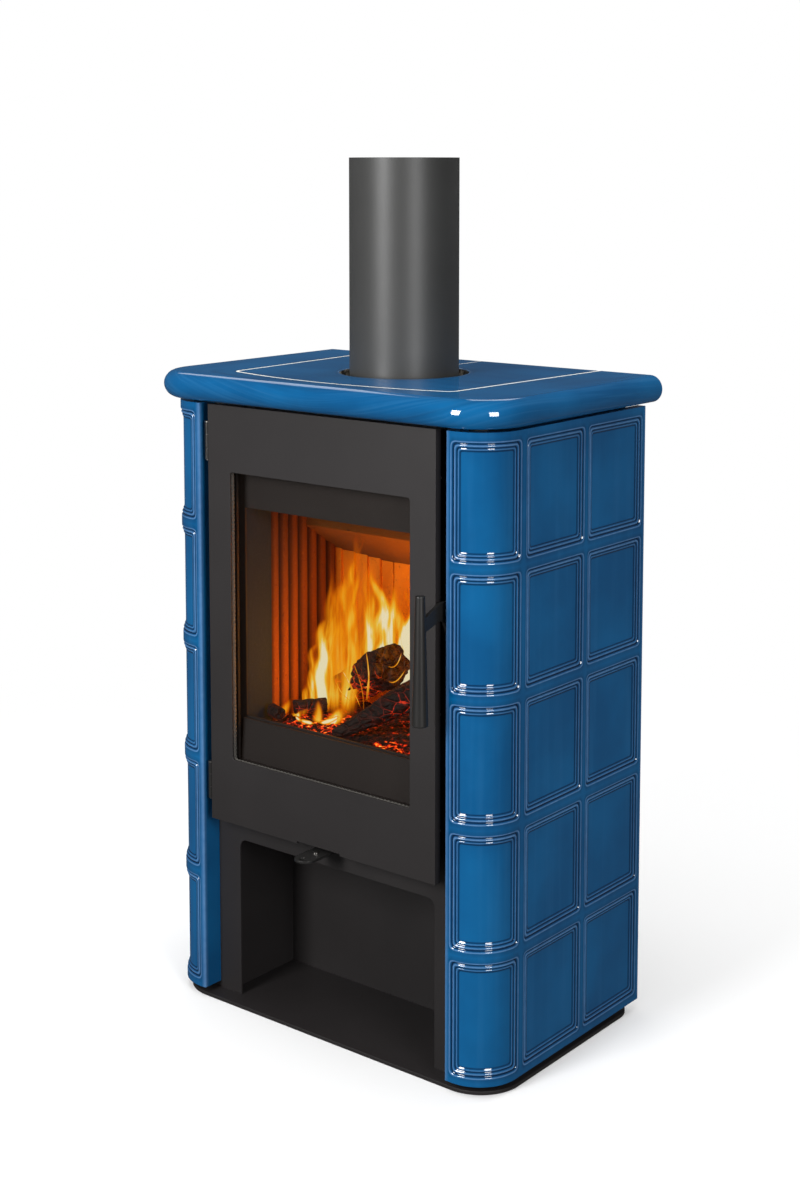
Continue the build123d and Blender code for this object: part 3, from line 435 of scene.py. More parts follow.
# pale lines: thin glaze on the ridges, partly painted highlights; dark lines: pooled glaze in the grooves
# and beside the outer ridge, partly painted shade
thinAndHighlightLines = [(0.3, 0.6, 0.8), (5.3, 0.9, 0.75), (10.0, 0.5, 0.5)]   # distance in, width, strength
darkLines = [(2.7, 1.15, 1.0), (8.0, 0.95, 1.0), (12.2, 1.0, 0.9), (-1.6, 1.2, 0.35)]


def curveThrough(points, at):  # smooth curve through the profile's points
    if at <= points[0][0]:
        return points[0][1]
    if at >= points[-1][0]:
        return points[-1][1]
    last = len(points) - 1
    index = next(i for i in range(last) if at < points[i + 1][0])
    (x0, y0), (x1, y1) = points[index], points[index + 1]
    before, after = points[max(index - 1, 0)], points[min(index + 2, last)]
    run = x1 - x0
    slope0 = (y1 - before[1]) / (x1 - before[0]) * run
    slope1 = (after[1] - y0) / (after[0] - x0) * run
    t = (at - x0) / run
    return (y0 * (2 * t ** 3 - 3 * t ** 2 + 1) + slope0 * (t ** 3 - 2 * t ** 2 + t)
            + y1 * (3 * t ** 2 - 2 * t ** 3) + slope1 * (t ** 3 - t ** 2))


def lineAt(t, lines):
    return max(k * math.exp(-((t - centre) / width) ** 2) for centre, width, k in lines)


def outerFace(low, high):  # plan of a right-hand tile's skin: pieces from the leg's end to the back
    e, r = tile["arris"], tile["corner"]
    x0, x1, y0, y1 = low.x, high.x, low.y, high.y
    pieces, start = [], 0.0

    def line(a, b):
        nonlocal start
        length = (Vector(b) - Vector(a)).length
        pieces.append(("line", start, length, Vector(a), (Vector(b) - Vector(a)) / length))
        start += length

    def arc(centre, radius, first):
        nonlocal start
        pieces.append(("arc", start, radius * math.pi / 2, Vector(centre), (radius, first)))
        start += radius * math.pi / 2

    line((x0, y0 + tile["legDepth"]), (x0, y0 + e))
    arc((x0 + e, y0 + e), e, math.pi)
    line((x0 + e, y0), (x1 - r, y0))
    arc((x1 - r, y0 + r), r, math.pi * 1.5)
    line((x1, y0 + r), (x1, y1 - e))
    arc((x1 - e, y1 - e), e, 0.0)
    line((x1 - e, y1), (x1 - tile["wall"], y1))
    return pieces, start


def onFace(pieces, s):  # place and outward direction at a length along the skin
    for kind, start, length, origin, rest in pieces:
        if s <= start + length + 1e-9:
            break
    at = s - start
    if kind == "line":
        return origin + rest * at, Vector((rest.y, -rest.x))
    radius, first = rest
    angle = first + at / radius
    out = Vector((math.cos(angle), math.sin(angle)))
    return origin + out * radius, out


def gridLines(first, last, fineBands, step, coarse):  # close lines in the bands, wide ones between
    marks = {first, last}
    for a, b in fineBands:
        count = max(1, round((b - a) / step))
        marks.update(a + (b - a) * i / count for i in range(count + 1))
    marks = sorted(m for m in marks if first <= m <= last)
    lines = [marks[0]]
    for mark in marks[1:]:
        if mark - lines[-1] < 1e-6:
            continue
        count = max(1, math.ceil((mark - lines[-1]) / coarse - 1e-6))
        begin = lines[-1]
        lines.extend(begin + (mark - begin) * i / count for i in range(1, count + 1))
    return lines


def panelInset(s, z, panel):  # distance in from a panel's rounded edge, in mm; negative outside
    s0, s1, z0, z1 = panel
    across = min(s - s0, s1 - s) / mm
    upward = min(z - z0, z1 - z) / mm
    near = min(across, upward)
    blend = max(tile["round"] - 0.35 * max(near, 0), 3.2)
    h = max(blend - abs(across - upward), 0) / blend
    return near - h * h * blend / 4


def makeTile(name, index, mirror):
    low, high = boxOf(f"tile_right_{index}")
    pieces, total = outerFace(low, high)
    e, r = tile["arris"], tile["corner"]
    frontStart = pieces[2][1]
    sideStart = pieces[4][1]
    sFront = lambda x: frontStart + x - (low.x + e)
    sSide = lambda y: sideStart + y - (low.y + r)
    y = low.y + tile["cornerBack"]
    spans = [(sFront(low.x + tile["startIn"]), sSide(y))]
    y += tile["cornerGap"]
    spans.append((sSide(y), sSide(y + tile["middle"])))
    y += tile["middle"] + tile["backGap"]
    spans.append((sSide(y), sSide(y + tile["backWide"])))
    z0 = low.z + (tile["lowMargin"] if index == 1 else tile["gap"] / 2)
    z1 = high.z - (tile["topMargin"] if index == 5 else tile["gap"] / 2)
    band = frameProfile[-1][0] * mm
    bands = [(a - mm, a + band) for a, b in spans] + [(b - band, b + mm) for a, b in spans]
    bands += [(p[1], p[1] + p[2]) for p in pieces if p[0] == "arc" and p[4][0] < 10 * mm]
    sLines = gridLines(0.0, total, bands, tile["step"], tile["coarse"] / 2)
    zLines = gridLines(low.z, high.z, [(z0 - mm, z0 + band), (z1 - band, z1 + mm)], tile["step"],
                       tile["coarse"])
    side = -1 if mirror else 1
    points, thin, pooled = [], [], []
    for s in sLines:
        spot, out = onFace(pieces, s)
        edge = max((1 - abs(s - (p[1] + p[2] / 2)) / p[2]) for p in pieces
                   if p[0] == "arc" and p[4][0] < 10 * mm)
        for z in zLines:
            t = max(panelInset(s, z, (a, b, z0, z1)) for a, b in spans)
            depth = curveThrough(frameProfile, t)
            at = spot - out * depth * mm
            points.append((side * at.x, at.y, z))
            # pale on ridges and small arrises (thin glaze, partly painted highlight), dark in grooves
            # (pooled glaze, partly painted shade)
            thin.append(max(lineAt(t, thinAndHighlightLines), max(edge, 0) * 0.6))
            pooled.append(lineAt(t, darkLines))
    rows, columns = len(sLines), len(zLines)
    faces = gridFaces(rows, columns)
    # back of the tile: wall, inner corner and returned leg
    w = tile["wall"]
    inner = [(high.x - w, low.y + r)]
    inner += [(high.x - r + (r - w) * math.cos(a), low.y + r - (r - w) * math.sin(a))
              for a in (math.pi / 16 * k for k in range(1, 9))]
    inner += [(low.x + tile["leg"], low.y + w), (low.x + tile["leg"], low.y + tile["legDepth"])]
    base = len(points)
    for x, y in inner:
        points += [(side * x, y, low.z), (side * x, y, high.z)]
        thin += [0, 0]
        pooled += [0, 0]
    bottomRing = [(rows - 1) * columns] + [base + 2 * k for k in range(len(inner))] + [0]
    topRing = [rows * columns - 1] + [base + 2 * k + 1 for k in range(len(inner))] + [columns - 1]
    endEdge = [(rows - 1) * columns + j for j in range(columns)]
    startEdge = [j for j in range(columns)]
    faces.append(tuple([bottomRing[1], *endEdge, topRing[1]][::-1]))
    for k in range(1, len(inner)):
        faces.append((bottomRing[k], topRing[k], topRing[k + 1], bottomRing[k + 1]))
    faces.append(tuple([bottomRing[-2], *startEdge, topRing[-2]]))
    faces.append(tuple([i * columns for i in range(rows)] + bottomRing[1:-1]))
    faces.append(tuple(([i * columns + columns - 1 for i in range(rows)] + topRing[1:-1])[::-1]))
    piece = addPiece(name, points, faces, finishes["glazed_ceramic"],
                     stands=(name.replace("glazed_", ""),), values={"thin": thin, "pooled": pooled})
    outward(piece)
    sharpen(piece, 60)


for index in range(1, 6):
    makeTile(f"glazed_tile_right_{index}", index, False)
    makeTile(f"glazed_tile_left_{index}", index, True)
print("side tiles made")


top = {"sideFront": 187 * mm, "sideBack": 202 * mm, "frontMid": -140 * mm, "frontSide": -112 * mm,
       "corner": 14 * mm, "joint": 2.2 * mm, "outerCorner": 76.6 * mm, "arris": 0.9 * mm,
       "seam": 4.2 * mm,
       "hole": 88.9 * mm, "counts": (14, 10, 26), "noseRows": 20, "skirt": 12 * mm, "seamDeep": 9 * mm,
       "seamDrop": 0.04 * mm}
topLow, topHigh = boxOf("top_border")
pipeLow, pipeHigh = boxOf("flue_pipe")
flue = (pipeLow + pipeHigh) / 2


def spaced(a, b, count):
    return [Vector(a).lerp(Vector(b), i / count) for i in range(count)]


def turned(centre, radius, first, last, count):
    angles = [first + (last - first) * i / count for i in range(count)]
    return [Vector(centre) + radius * Vector((math.cos(a), math.sin(a))) for a in angles]


def withMirror(half):  # the right half from the back to the middle, then the left half
    return half + [Vector((-p.x, p.y)) for p in half[-2::-1]]


def insetOutline(grow):
    side, back = top["sideFront"] + grow, top["sideBack"] + grow
    front, mid = top["frontSide"] - grow, top["frontMid"] - grow
    end, r = topHigh.y, top["corner"] + grow
    bowRadius = (side ** 2 + (front - mid) ** 2) / (2 * (front - mid))
    bowCentre = Vector((0, mid + bowRadius))
    corner = Vector((side, front))
    up = (Vector((back, end + mm)) - corner).normalized()
    inward = Vector((-up.y, up.x))
    away = corner + inward * r - bowCentre
    b, c = away.dot(up), away.dot(away) - (bowRadius - r) ** 2
    centre = corner + inward * r + up * (-b - math.sqrt(b * b - c))
    touchSide = centre - inward * r
    reach = (centre - bowCentre).normalized()
    sideAngle, bowAngle = math.atan2(-inward.y, -inward.x), math.atan2(reach.y, reach.x)
    nSide, nCorner, nBow = top["counts"]
    start = corner + up * ((end - front) / up.y)
    half = spaced(start, touchSide, nSide) + turned(centre, r, sideAngle, bowAngle, nCorner)
    half += turned(bowCentre, bowRadius, bowAngle, -math.pi / 2, nBow) + [Vector((0, mid))]
    return withMirror(half)


def sideways(line):  # unit vectors pointing out of a clockwise outline, seen from above
    result = []
    for i in range(len(line)):
        run = (line[min(i + 1, len(line) - 1)] - line[max(i - 1, 0)]).normalized()
        result.append(Vector((-run.y, run.x)))
    return result


def sweepRows(stations, rows):  # quads between neighbouring closed sections, with end caps
    faces = []
    for i in range(stations - 1):
        for j in range(rows):
            k = (j + 1) % rows
            faces.append((i * rows + j, i * rows + k, (i + 1) * rows + k, (i + 1) * rows + j))
    faces.append(tuple(range(rows)))
    faces.append(tuple(reversed(range((stations - 1) * rows, stations * rows))))
    return faces


def rolledEdge(p, away):  # up the joint's side and over to the flat: place, z, pale thin glaze with painted highlight, pooled glaze with painted shade
    e, zTop = top["arris"], topHigh.z
    section = [(p, topLow.z, 0, 0), (p, zTop - top["skirt"], 0, 0), (p, zTop - e, 0.2, 0.5)]
    for a in (30, 60, 90):
        a = math.radians(a)
        section.append((p + away * e * (1 - math.cos(a)), zTop - e + e * math.sin(a), 0.1, 0.5))
    return section


def makeBorder():
    radius = (topHigh.z - topLow.z) / 2
    x, y, r = topHigh.x - radius, topLow.y + radius, top["outerCorner"] - radius
    nSide, nCorner, nBow = top["counts"]
    half = spaced((x, topHigh.y), (x, y + r), nSide) + turned((x - r, y + r), r, 0, -math.pi / 2, nCorner)
    half += spaced((x - r, y), (0, y), nBow) + [Vector((0, y))]
    outer = withMirror(half)
    inner = insetOutline(top["joint"] / 2)
    outAt, inAt = sideways(outer), sideways(inner)
    e, zTop, zLow, zMid = top["arris"], topHigh.z, topLow.z, (topHigh.z + topLow.z) / 2
    points, thin, pooled, grain = [], [], [], []
    along = 0.0
    for i, (o, p) in enumerate(zip(outer, inner)):
        along += (o - outer[i - 1]).length if i else 0
        out = Vector((1, 0)) if i == 0 else Vector((-1, 0)) if i == len(outer) - 1 else outAt[i]
        away = inAt[i]
        section = rolledEdge(p, away)
        first = p + away * e
        # darker just beside the joint: pooled glaze, partly painted shade
        section += [(first + away * 2 * mm, zTop, 0, 0.3), (first + away * 5 * mm, zTop, 0, 0)]
        first = first + away * 5 * mm
        section += [(first.lerp(o, t), zTop, 0, 0) for t in (0.35, 0.7)]
        for k in range(top["noseRows"] + 1):
            a = math.pi / 2 - math.pi * k / top["noseRows"]
            section.append((o + out * radius * math.cos(a), zMid + radius * math.sin(a), 0, 0))
        section.append((o.lerp(p, 0.5), zLow, 0, 0))
        around = 0.0
        for j, (spot, z, t, q) in enumerate(section):
            around += (Vector((*spot, z)) - Vector(points[-1])).length if j else 0
            points.append((spot.x, spot.y, z))
            thin.append(t)
            pooled.append(q)
            grain.append((along, around))
    rows = len(points) // len(outer)
    piece = addPiece("glazed_border", points, sweepRows(len(outer), rows), brushedGlaze,
                     stands=("top_border",), values={"thin": thin, "pooled": pooled}, grain=grain)
    outward(piece)
    sharpen(piece, 50)


def makeInset():
    outline = insetOutline(-top["joint"] / 2)
    slit = top["joint"] / 2
    backLine = [Vector((slit + (outline[0].x - slit) * t, topHigh.y)) for t in (0, 0.2, 0.4, 0.6, 0.8)]
    line = backLine + outline + [Vector((-p.x, p.y)) for p in reversed(backLine)]
    away = sideways(line)
    away[:len(backLine)] = [Vector((0, 1))] * len(backLine)
    away[-len(backLine):] = [Vector((0, 1))] * len(backLine)
    middle, r, e = flue.xy, top["hole"], top["arris"]
    zTop, zLow = topHigh.z, topLow.z
    points, thin, pooled, grain = [], [], [], []
    for p, out in zip(line, away):
        spoke = (p - middle).normalized()
        h = middle + spoke * r
        if abs(h.x) < slit and h.y > middle.y:
            h = Vector((math.copysign(slit, p.x), middle.y + math.sqrt(r * r - slit * slit)))
            spoke = (h - middle).normalized()
        section = rolledEdge(p, -out)
        rim = h + spoke * e
        flat = p - out * e
        # darker at the joint's and the hole's edges: pooled glaze, partly painted shade
        section += [(flat.lerp(rim, t), zTop, 0, 0.25 if t in (0.02, 0.98) else 0)
                    for t in (0.02, 0.06, 0.35, 0.65, 0.94, 0.98)]
        # the flue hole's rounded rim is made pale: a painted highlight
        for a in (90, 60, 30, 0):
            a = math.radians(a)
            section.append((h + spoke * e * (1 - math.cos(a)), zTop - e + e * math.sin(a), 0.6, 0))
        section += [(h, zTop - 3 * mm, 0, 0), (h, zLow, 0, 0), (h.lerp(p, 0.5), zLow, 0, 0)]
        for spot, z, t, q in section:
            points.append((spot.x, spot.y, z))
            thin.append(t)
            pooled.append(q)
            grain.append((spot.x, spot.y))
    rows = len(points) // len(line)
    faces = sweepRows(len(line), rows)
    # the flue hole's wall takes the clay made dark as painted shade
    hole = [i * rows + j for i in range(len(line) - 1) for j in range(rows - 4, rows - 2)]
    piece = addPiece("glazed_inset", points, faces, brushedGlaze,
                     stands=("top_inset",), values={"thin": thin, "pooled": pooled}, grain=grain,
                     second=clayInPaintedShade, secondFaces=hole)
    outward(piece)
    sharpen(piece, 50)


def makeSeam():  # joint compound, struck almost flush with the glaze
    half, low, high = top["seam"] / 2, topHigh.z - top["seamDeep"], topHigh.z - top["seamDrop"]
    inner, outer = insetOutline(-half), insetOutline(half)
    points = [(p.x, p.y, z) for a, b in zip(inner, outer)
              for p, z in ((a, low), (a, high), (b, high), (b, low))]
    faces = sweepRows(len(inner), 4)
    base = len(points)
    start = flue.y + math.sqrt(top["hole"] ** 2 - half ** 2)
    points += [(x, y, z) for y in (start, topHigh.y)
               for x, z in ((-half, low), (-half, high), (half, high), (half, low))]
    faces += [tuple(base + i for i in face) for face in sweepRows(2, 4)]
    piece = addPiece("seam", points, faces, finishes["joint_compound"],
                     stands=("top_grout",), smooth=False)
    outward(piece)


makeBorder()
makeInset()
makeSeam()
print("glazed top made")


reeds = {"pitch": 20.3 * mm, "depth": 4.2 * mm, "steps": 14, "thick": 30 * mm, "paintedShadeTop": 0.8}


def reedLine(length, pitch, depth, steps):  # distance along and depth of round reeds side by side
    count = max(1, round(length / pitch))
    width = length / count
    line = []
    for k in range(count):
        for i in range(steps):
            u = i / steps
            line.append((width * (k + u), depth * abs(math.cos(math.pi * u)) ** 5))
    return line + [(length, depth)]


def makeReeded(name, line, back, deep, zLow, zHigh, stands):  # plan outlines swept upwards, both sides
    points, faces, groove = [], [], []
    deep = deep + [0] * len(back)
    for side in (1, -1):
        base = len(points)
        outline = line + back
        points += [(side * x, y, z) for z in (zLow, zHigh) for x, y in outline]
        # painted shade: dark in the grooves between the reeds, and darker towards the top
        groove += deep + [1 - (1 - d) * (1 - reeds["paintedShadeTop"]) for d in deep]
        n = len(outline)
        faces += [(base + i, base + (i + 1) % n, base + n + (i + 1) % n, base + n + i) for i in range(n)]
        faces += [tuple(base + i for i in range(n)), tuple(base + n + i for i in range(n))]
    piece = addPiece(name, points, faces, sideBrick, stands=stands, values={"groove": groove})
    outward(piece)
    sharpen(piece, 70)


low, high = boxOf("side_linings")
x = high.x - reeds["thick"]
reed = reedLine(high.y - low.y, reeds["pitch"], reeds["depth"], reeds["steps"])
makeReeded("reeded_side_bricks", [(x + d, low.y + s) for s, d in reed], [(high.x, high.y), (high.x, low.y)],
           [min(1, 0.95 * d / reeds["depth"]) for s, d in reed], low.z, high.z, ("side_linings",))
print("lining made")


# both ends and the radius in mm; wedges give the share of the radius along the log
fuel = {"frontLog": ((-36, -90, 418), (122, -32, 489), 27),
        "backLog": ((-112, 28, 431), (14, -18, 491), 35),
        "stick": ((-127, -61, 415.5), (-97, -27, 416.5), 11.5),
        "twig": ((-146, -88, 414), (-122, -96, 414), 10),
        "frontWedge": [(0.0, 0.36), (0.17, 0.47), (0.33, 0.64), (0.5, 0.82), (0.67, 0.92), (1.0, 1.0)],
        "backWedge": [(0.0, 0.8), (0.5, 0.9), (0.85, 1.0), (1.0, 1.0)]}


def heatAt(p, spots):  # glow near the hot spots: x, y, z, radius in mm, strength
    return min(1.0, sum(k * math.exp(-((p / mm - Vector((x, y, z))).length / r) ** 2)
                        for x, y, z, r, k in spots))


def shareAt(points, at):  # straight lines through (place, share)
    for (x0, y0), (x1, y1) in zip(points, points[1:]):
        if at <= x1:
            return y0 + (y1 - y0) * (at - x0) / (x1 - x0)
    return points[-1][1]


def splitLog(start, end, radius, seed, flats, wedge=((0, 1), (1, 1))):  # flat cleft sides, cracked skin
    start, end, radius = Vector(start) * mm, Vector(end) * mm, radius * mm
    axis = (end - start).normalized()
    up = Vector((0, 0, 1)) - axis * axis.z
    up.normalize()
    across = axis.cross(up)
    length = (end - start).length
    rings, around, capRings = max(10, int(length / (2.0 * mm))), 64, 7
    shift = Vector((seed * 3.1, seed * 1.7, seed * 0.9))
    points = []
    for i in range(-capRings, rings + capRings + 1):
        t = min(max(i / rings, 0), 1)
        cap = 1 - max(0, -i, i - rings) / capRings * 0.999  # ends close in rings
        share = shareAt(wedge, t)
        spot = start + axis * length * t - up * radius * (1 - share)
        for k in range(around):
            angle = 2 * math.pi * k / around
            reach = 1.0
            for direction, cut in flats:
                facing = math.cos(angle - direction)
                if facing > 0.05:
                    reach = min(reach, cut / facing)
            out = up * math.sin(angle) + across * math.cos(angle)
            p = spot + out * radius * reach
            grain = Vector((p.dot(axis) * 0.25, p.dot(up), p.dot(across)))  # long along the wood
            coarse = noise.noise(p * 20 + shift) * 0.06
            cell = Vector((p.dot(axis) * 34, p.dot(up) * 60, p.dot(across) * 60))
            blocks = noise.voronoi(cell + shift)[0]
            crack = -0.1 * max(0, 0.2 - (blocks[1] - blocks[0])) / 0.2
            fibre = noise.noise(grain * 210 + shift) * 0.05
            size = radius * share * reach * (0.91 + coarse + crack + fibre)
            ends = axis * (0.004 * noise.noise(p * 70 + shift)) if cap < 1 else Vector()
            points.append(spot + out * size * cap + ends)
    return points, sweepRows(rings + 2 * capRings + 1, around)


def makeLogs(name, parts, spots, stands):
    points, faces = [], []
    for part in parts:
        p, f = splitLog(*part)
        faces += [tuple(i + len(points) for i in face) for face in f]
        points += p
    piece = addPiece(name, points, faces, finishes["charred_wood"], stands=stands,
                     values={"hotness": [heatAt(p, spots) for p in points]})
    outward(piece)
    sharpen(piece, 50)


# cleft sides: angle round the log and how far out; hot spots: x, y, z, radius in mm, strength
makeLogs("front_split_log",
         [(*fuel["frontLog"], 1, [(0.3, 0.84), (1.5, 0.8), (3.6, 0.85)], fuel["frontWedge"])],
         [(104, -78, 456, 38, 0.8), (72, -92, 428, 34, 1.0), (24, -104, 408, 18, 0.5),
          (118, -48, 500, 24, 0.7)], ("log_front",))
makeLogs("back_split_log",
         [(*fuel["backLog"], 2, [(0.2, 0.86), (1.45, 0.84), (2.7, 0.86), (4.0, 0.84), (5.2, 0.82)],
           fuel["backWedge"])],
         [(-90, 6, 430, 44, 1.2), (-54, -16, 440, 38, 1.1), (-28, -34, 446, 22, 0.7),
          (24, -16, 524, 22, 0.6), (18, -50, 480, 20, 0.6)], ("log_back",))
makeLogs("small_split_logs", [(*fuel["stick"], 3, [(0.2, 0.86), (1.7, 0.85), (4.5, 0.85)]),
                              (*fuel["twig"], 4, [(0.4, 0.8)])],
         [(-112, -58, 404, 18, 0.9), (-134, -92, 404, 12, 0.5)], ("logs_small",))

embers = {"columns": 120, "rows": 72, "lump": 9 * mm,
          "spots": [(-78, -88, 405, 34, 1.5), (-104, -54, 405, 20, 0.9), (-46, -66, 405, 30, 1.4),
                    (-60, -30, 405, 40, 0.8), (62, -84, 405, 20, 1.3), (90, -100, 405, 40, 0.5),
                    (40, 10, 405, 60, 0.6), (-120, 20, 405, 40, 0.4)]}


def makeEmberBed():
    low, high = boxOf("ember_bed")
    points = []
    nx, ny = embers["columns"], embers["rows"]
    for j in range(ny + 1):
        for i in range(nx + 1):
            x = low.x + (high.x - low.x) * i / nx
            y = low.y + (high.y - low.y) * j / ny
            rim = min(min(i, nx - i) / 7, min(j, ny - j) / 5, 1)
            cell = noise.voronoi(Vector((x, y, 0)) * 75)[0]
            lump = min(cell[1] - cell[0], 0.5) / 0.5
            height = (0.35 + 0.35 * lump + 0.3 * noise.noise(Vector((x, y, 3)) * 30)) * embers["lump"]
            z = high.z - 9 * mm + height
            points.append((x, y, low.z + (z - low.z) * (1 - (1 - rim) ** 2 * 0.75)))
    faces = gridFaces(ny + 1, nx + 1)
    rim = [i for i in range(nx + 1)] + [j * (nx + 1) + nx for j in range(1, ny + 1)]
    rim += [ny * (nx + 1) + i for i in range(nx - 1, -1, -1)] + [j * (nx + 1) for j in range(ny - 1, 0, -1)]
    base = len(points)
    points += [(points[k][0], points[k][1], low.z) for k in rim]
    n = len(rim)
    for k in range(n):
        m = (k + 1) % n
        faces.append((rim[k], base + k, base + m, rim[m]))
    faces.append(tuple(base + k for k in reversed(range(n))))
    piece = addPiece("ember_pieces", points, faces, finishes["embers"], stands=("ember_bed",),
                     values={"hotness": [heatAt(Vector(p), embers["spots"]) for p in points]})
    outward(piece)


makeEmberBed()

# flames stand on sheets across the firebox, keyed by Y in mm: foot, middle and tip (x, z), half
# width, strength
flames = {
    "step": 2.4, "across": (-156, 156), "upward": (400, 668), "least": 0.03,
    "sheets": {
        20: [((-100, 425), (-104, 527), (-86, 640), 26, 0.7),
             ((-74, 440), (-80, 570), (-72, 668), 18, 0.75),
             ((-50, 455), (-56, 552), (-60, 632), 16, 1.15),
             ((-29, 460), (-31, 545), (-46, 622), 17, 1.5),
             ((-8, 460), (-9, 545), (-17, 600), 17, 1.6),
             ((17, 440), (16, 525), (10, 590), 17, 2.2)],
        -20: [((-112, 412), (-113, 468), (-92, 560), 13, 1.5),
              ((-92, 418), (-94, 494), (-80, 622), 17, 0.85),
              ((-134, 406), (-128, 452), (-108, 520), 9, 1.0),
              ((-69, 420), (-66, 512), (-52, 620), 18, 0.8),
              ((-150, 400), (-140, 431), (-122, 478), 7, 0.7),
              ((-56, 560), (-44, 622), (-31, 668), 6, 0.45),
              ((-110, 500), (-98, 565), (-100, 632), 7, 0.6),
              ((-158, 402), (-150, 420), (-136, 446), 6, 0.6)],
        -62: [((-122, 402), (-112, 408), (-96, 420), 9, 0.9),
              ((-66, 402), (-48, 414), (-30, 436), 12, 1.0),
              ((-84, 402), (-80, 414), (-88, 436), 8, 0.8),
              ((-150, 402), (-144, 410), (-128, 428), 8, 0.6)],
    },
    # thin bright licks in front of the wood: three points (x, y, z), half width, strength
    "licks": [((-49, -52, 482), (-29, -52, 458), (-9, -54, 428), 1.6, 1.0),
              ((-29, -52, 497), (-11, -52, 458), (-8, -54, 424), 1.5, 1.0),
              ((-6, -50, 515), (1, -52, 481), (1, -54, 449), 1.9, 1.1),
              ((-58, -52, 464), (-49, -52, 449), (-33, -52, 440), 1.6, 0.9),
              ((-41, -52, 474), (-29, -52, 455), (-20, -52, 443), 1.4, 0.9),
              ((10, -60, 493), (5, -60, 461), (5, -60, 447), 1.8, 1.0),
              ((26, -42, 496), (42, -44, 500), (52, -44, 520), 1.3, 0.9),
              ((28, -44, 476), (46, -48, 480), (60, -46, 498), 1.4, 0.9),
              ((44, -20, 512), (56, -14, 484), (32, -22, 460), 4.5, 1.5),
              ((-118, -70, 406), (-92, -86, 408), (-66, -84, 408), 4.5, 1.3),
              ((-70, -74, 406), (-52, -74, 412), (-30, -76, 424), 4.5, 1.2)],
}


def curveAt(points, t):  # smooth curve that passes through three points
    a, b, c = (Vector(p) for p in points)
    bend = 2 * b - (a + c) / 2
    return a * (1 - t) ** 2 + bend * 2 * t * (1 - t) + c * t * t


def makeFlames():
    points, faces, core = [], [], []
    step, (x0, x1), (z0, z1) = flames["step"], flames["across"], flames["upward"]
    columns, rows = int((x1 - x0) / step), int((z1 - z0) / step)
    for depth, tongues in flames["sheets"].items():
        base = len(points)
        for j in range(rows + 1):
            z = z0 + j * step
            middles = []
            for foot, mid, tip, half, strength in tongues:
                t = (z - foot[1]) / (tip[1] - foot[1])
                if -0.1 < t < 1.0:
                    up = max(t, 0)
                    sway = noise.noise(Vector((foot[0], z * 0.026, depth))) * 22 * up
                    x = curveAt((foot, mid, tip), up).x + sway
                    width = half * (1.0 + 0.9 * up - 1.65 * up ** 1.6)
                    fade = min(1, (t + 0.1) / 0.15) * (1 - 0.35 * up - 0.65 * up ** 3)
                    middles.append((x, max(width, 1.5), strength * fade))
            for i in range(columns + 1):
                x = x0 + i * step
                wave = noise.noise(Vector((x * 0.009, z * 0.008, depth))) * 12
                heat = max([k * math.exp(-abs((x - m) / w) ** 2.2) for m, w, k in middles], default=0)
                points.append((x * mm, (depth + wave) * mm, z * mm))
                core.append(heat)
        faces += [corners for corners in gridFaces(rows + 1, columns + 1, base)
                  if max(core[c] for c in corners) > flames["least"]]
    for *path, half, strength in flames["licks"]:
        base, count = len(points), 26
        for i in range(count + 1):
            t = i / count
            spot = curveAt(path, t)
            ahead = curveAt(path, min(t + 0.02, 1)) - curveAt(path, max(t - 0.02, 0))
            side = Vector((ahead.z, 0, -ahead.x)).normalized() * half * (0.4 + 2.4 * t * (1 - t))
            for k in range(-2, 3):
                points.append((spot + side * k / 2) * mm)
                core.append(strength * (1 - abs(k) / 2) * min(1, 8 * t * (1 - t)))
        faces += gridFaces(count + 1, 5, base)
    used = sorted({c for face in faces for c in face})
    order = {c: k for k, c in enumerate(used)}
    addPiece("flames", [points[c] for c in used], [tuple(order[c] for c in face) for face in faces],
             flameFinish, values={"core": [core[c] for c in used]})


makeFlames()
print("fire made")


rope = {"radius": 4 * mm, "corner": 8 * mm, "pitch": 6 * mm, "strands": 3, "sides": 12, "step": 1.0 * mm}


def roundedPath(half, zLow, zHigh, corner, step):  # closed, across Y: (x, z, out x, out z)
    path = []

    def line(x0, z0, x1, z1, out):
        count = max(1, round(math.hypot(x1 - x0, z1 - z0) / step))
        path.extend((x0 + (x1 - x0) * i / count, z0 + (z1 - z0) * i / count, *out) for i in range(count))

    def arc(cx, cz, first):
        count = max(2, round(corner * math.pi / 2 / step))
        for i in range(count):
            a = first + math.pi / 2 * i / count
            path.append((cx + corner * math.cos(a), cz + corner * math.sin(a), math.cos(a), math.sin(a)))

    x, z0, z1 = half - corner, zLow + corner, zHigh - corner
    line(-x, zLow, x, zLow, (0, -1))
    arc(x, z0, -math.pi / 2)
    line(half, z0, half, z1, (1, 0))
    arc(x, z1, 0)
    line(x, zHigh, -x, zHigh, (0, 1))
    arc(-x, z1, math.pi / 2)
    line(-half, z1, -half, z0, (-1, 0))
    arc(-x, z0, math.pi)
    return path


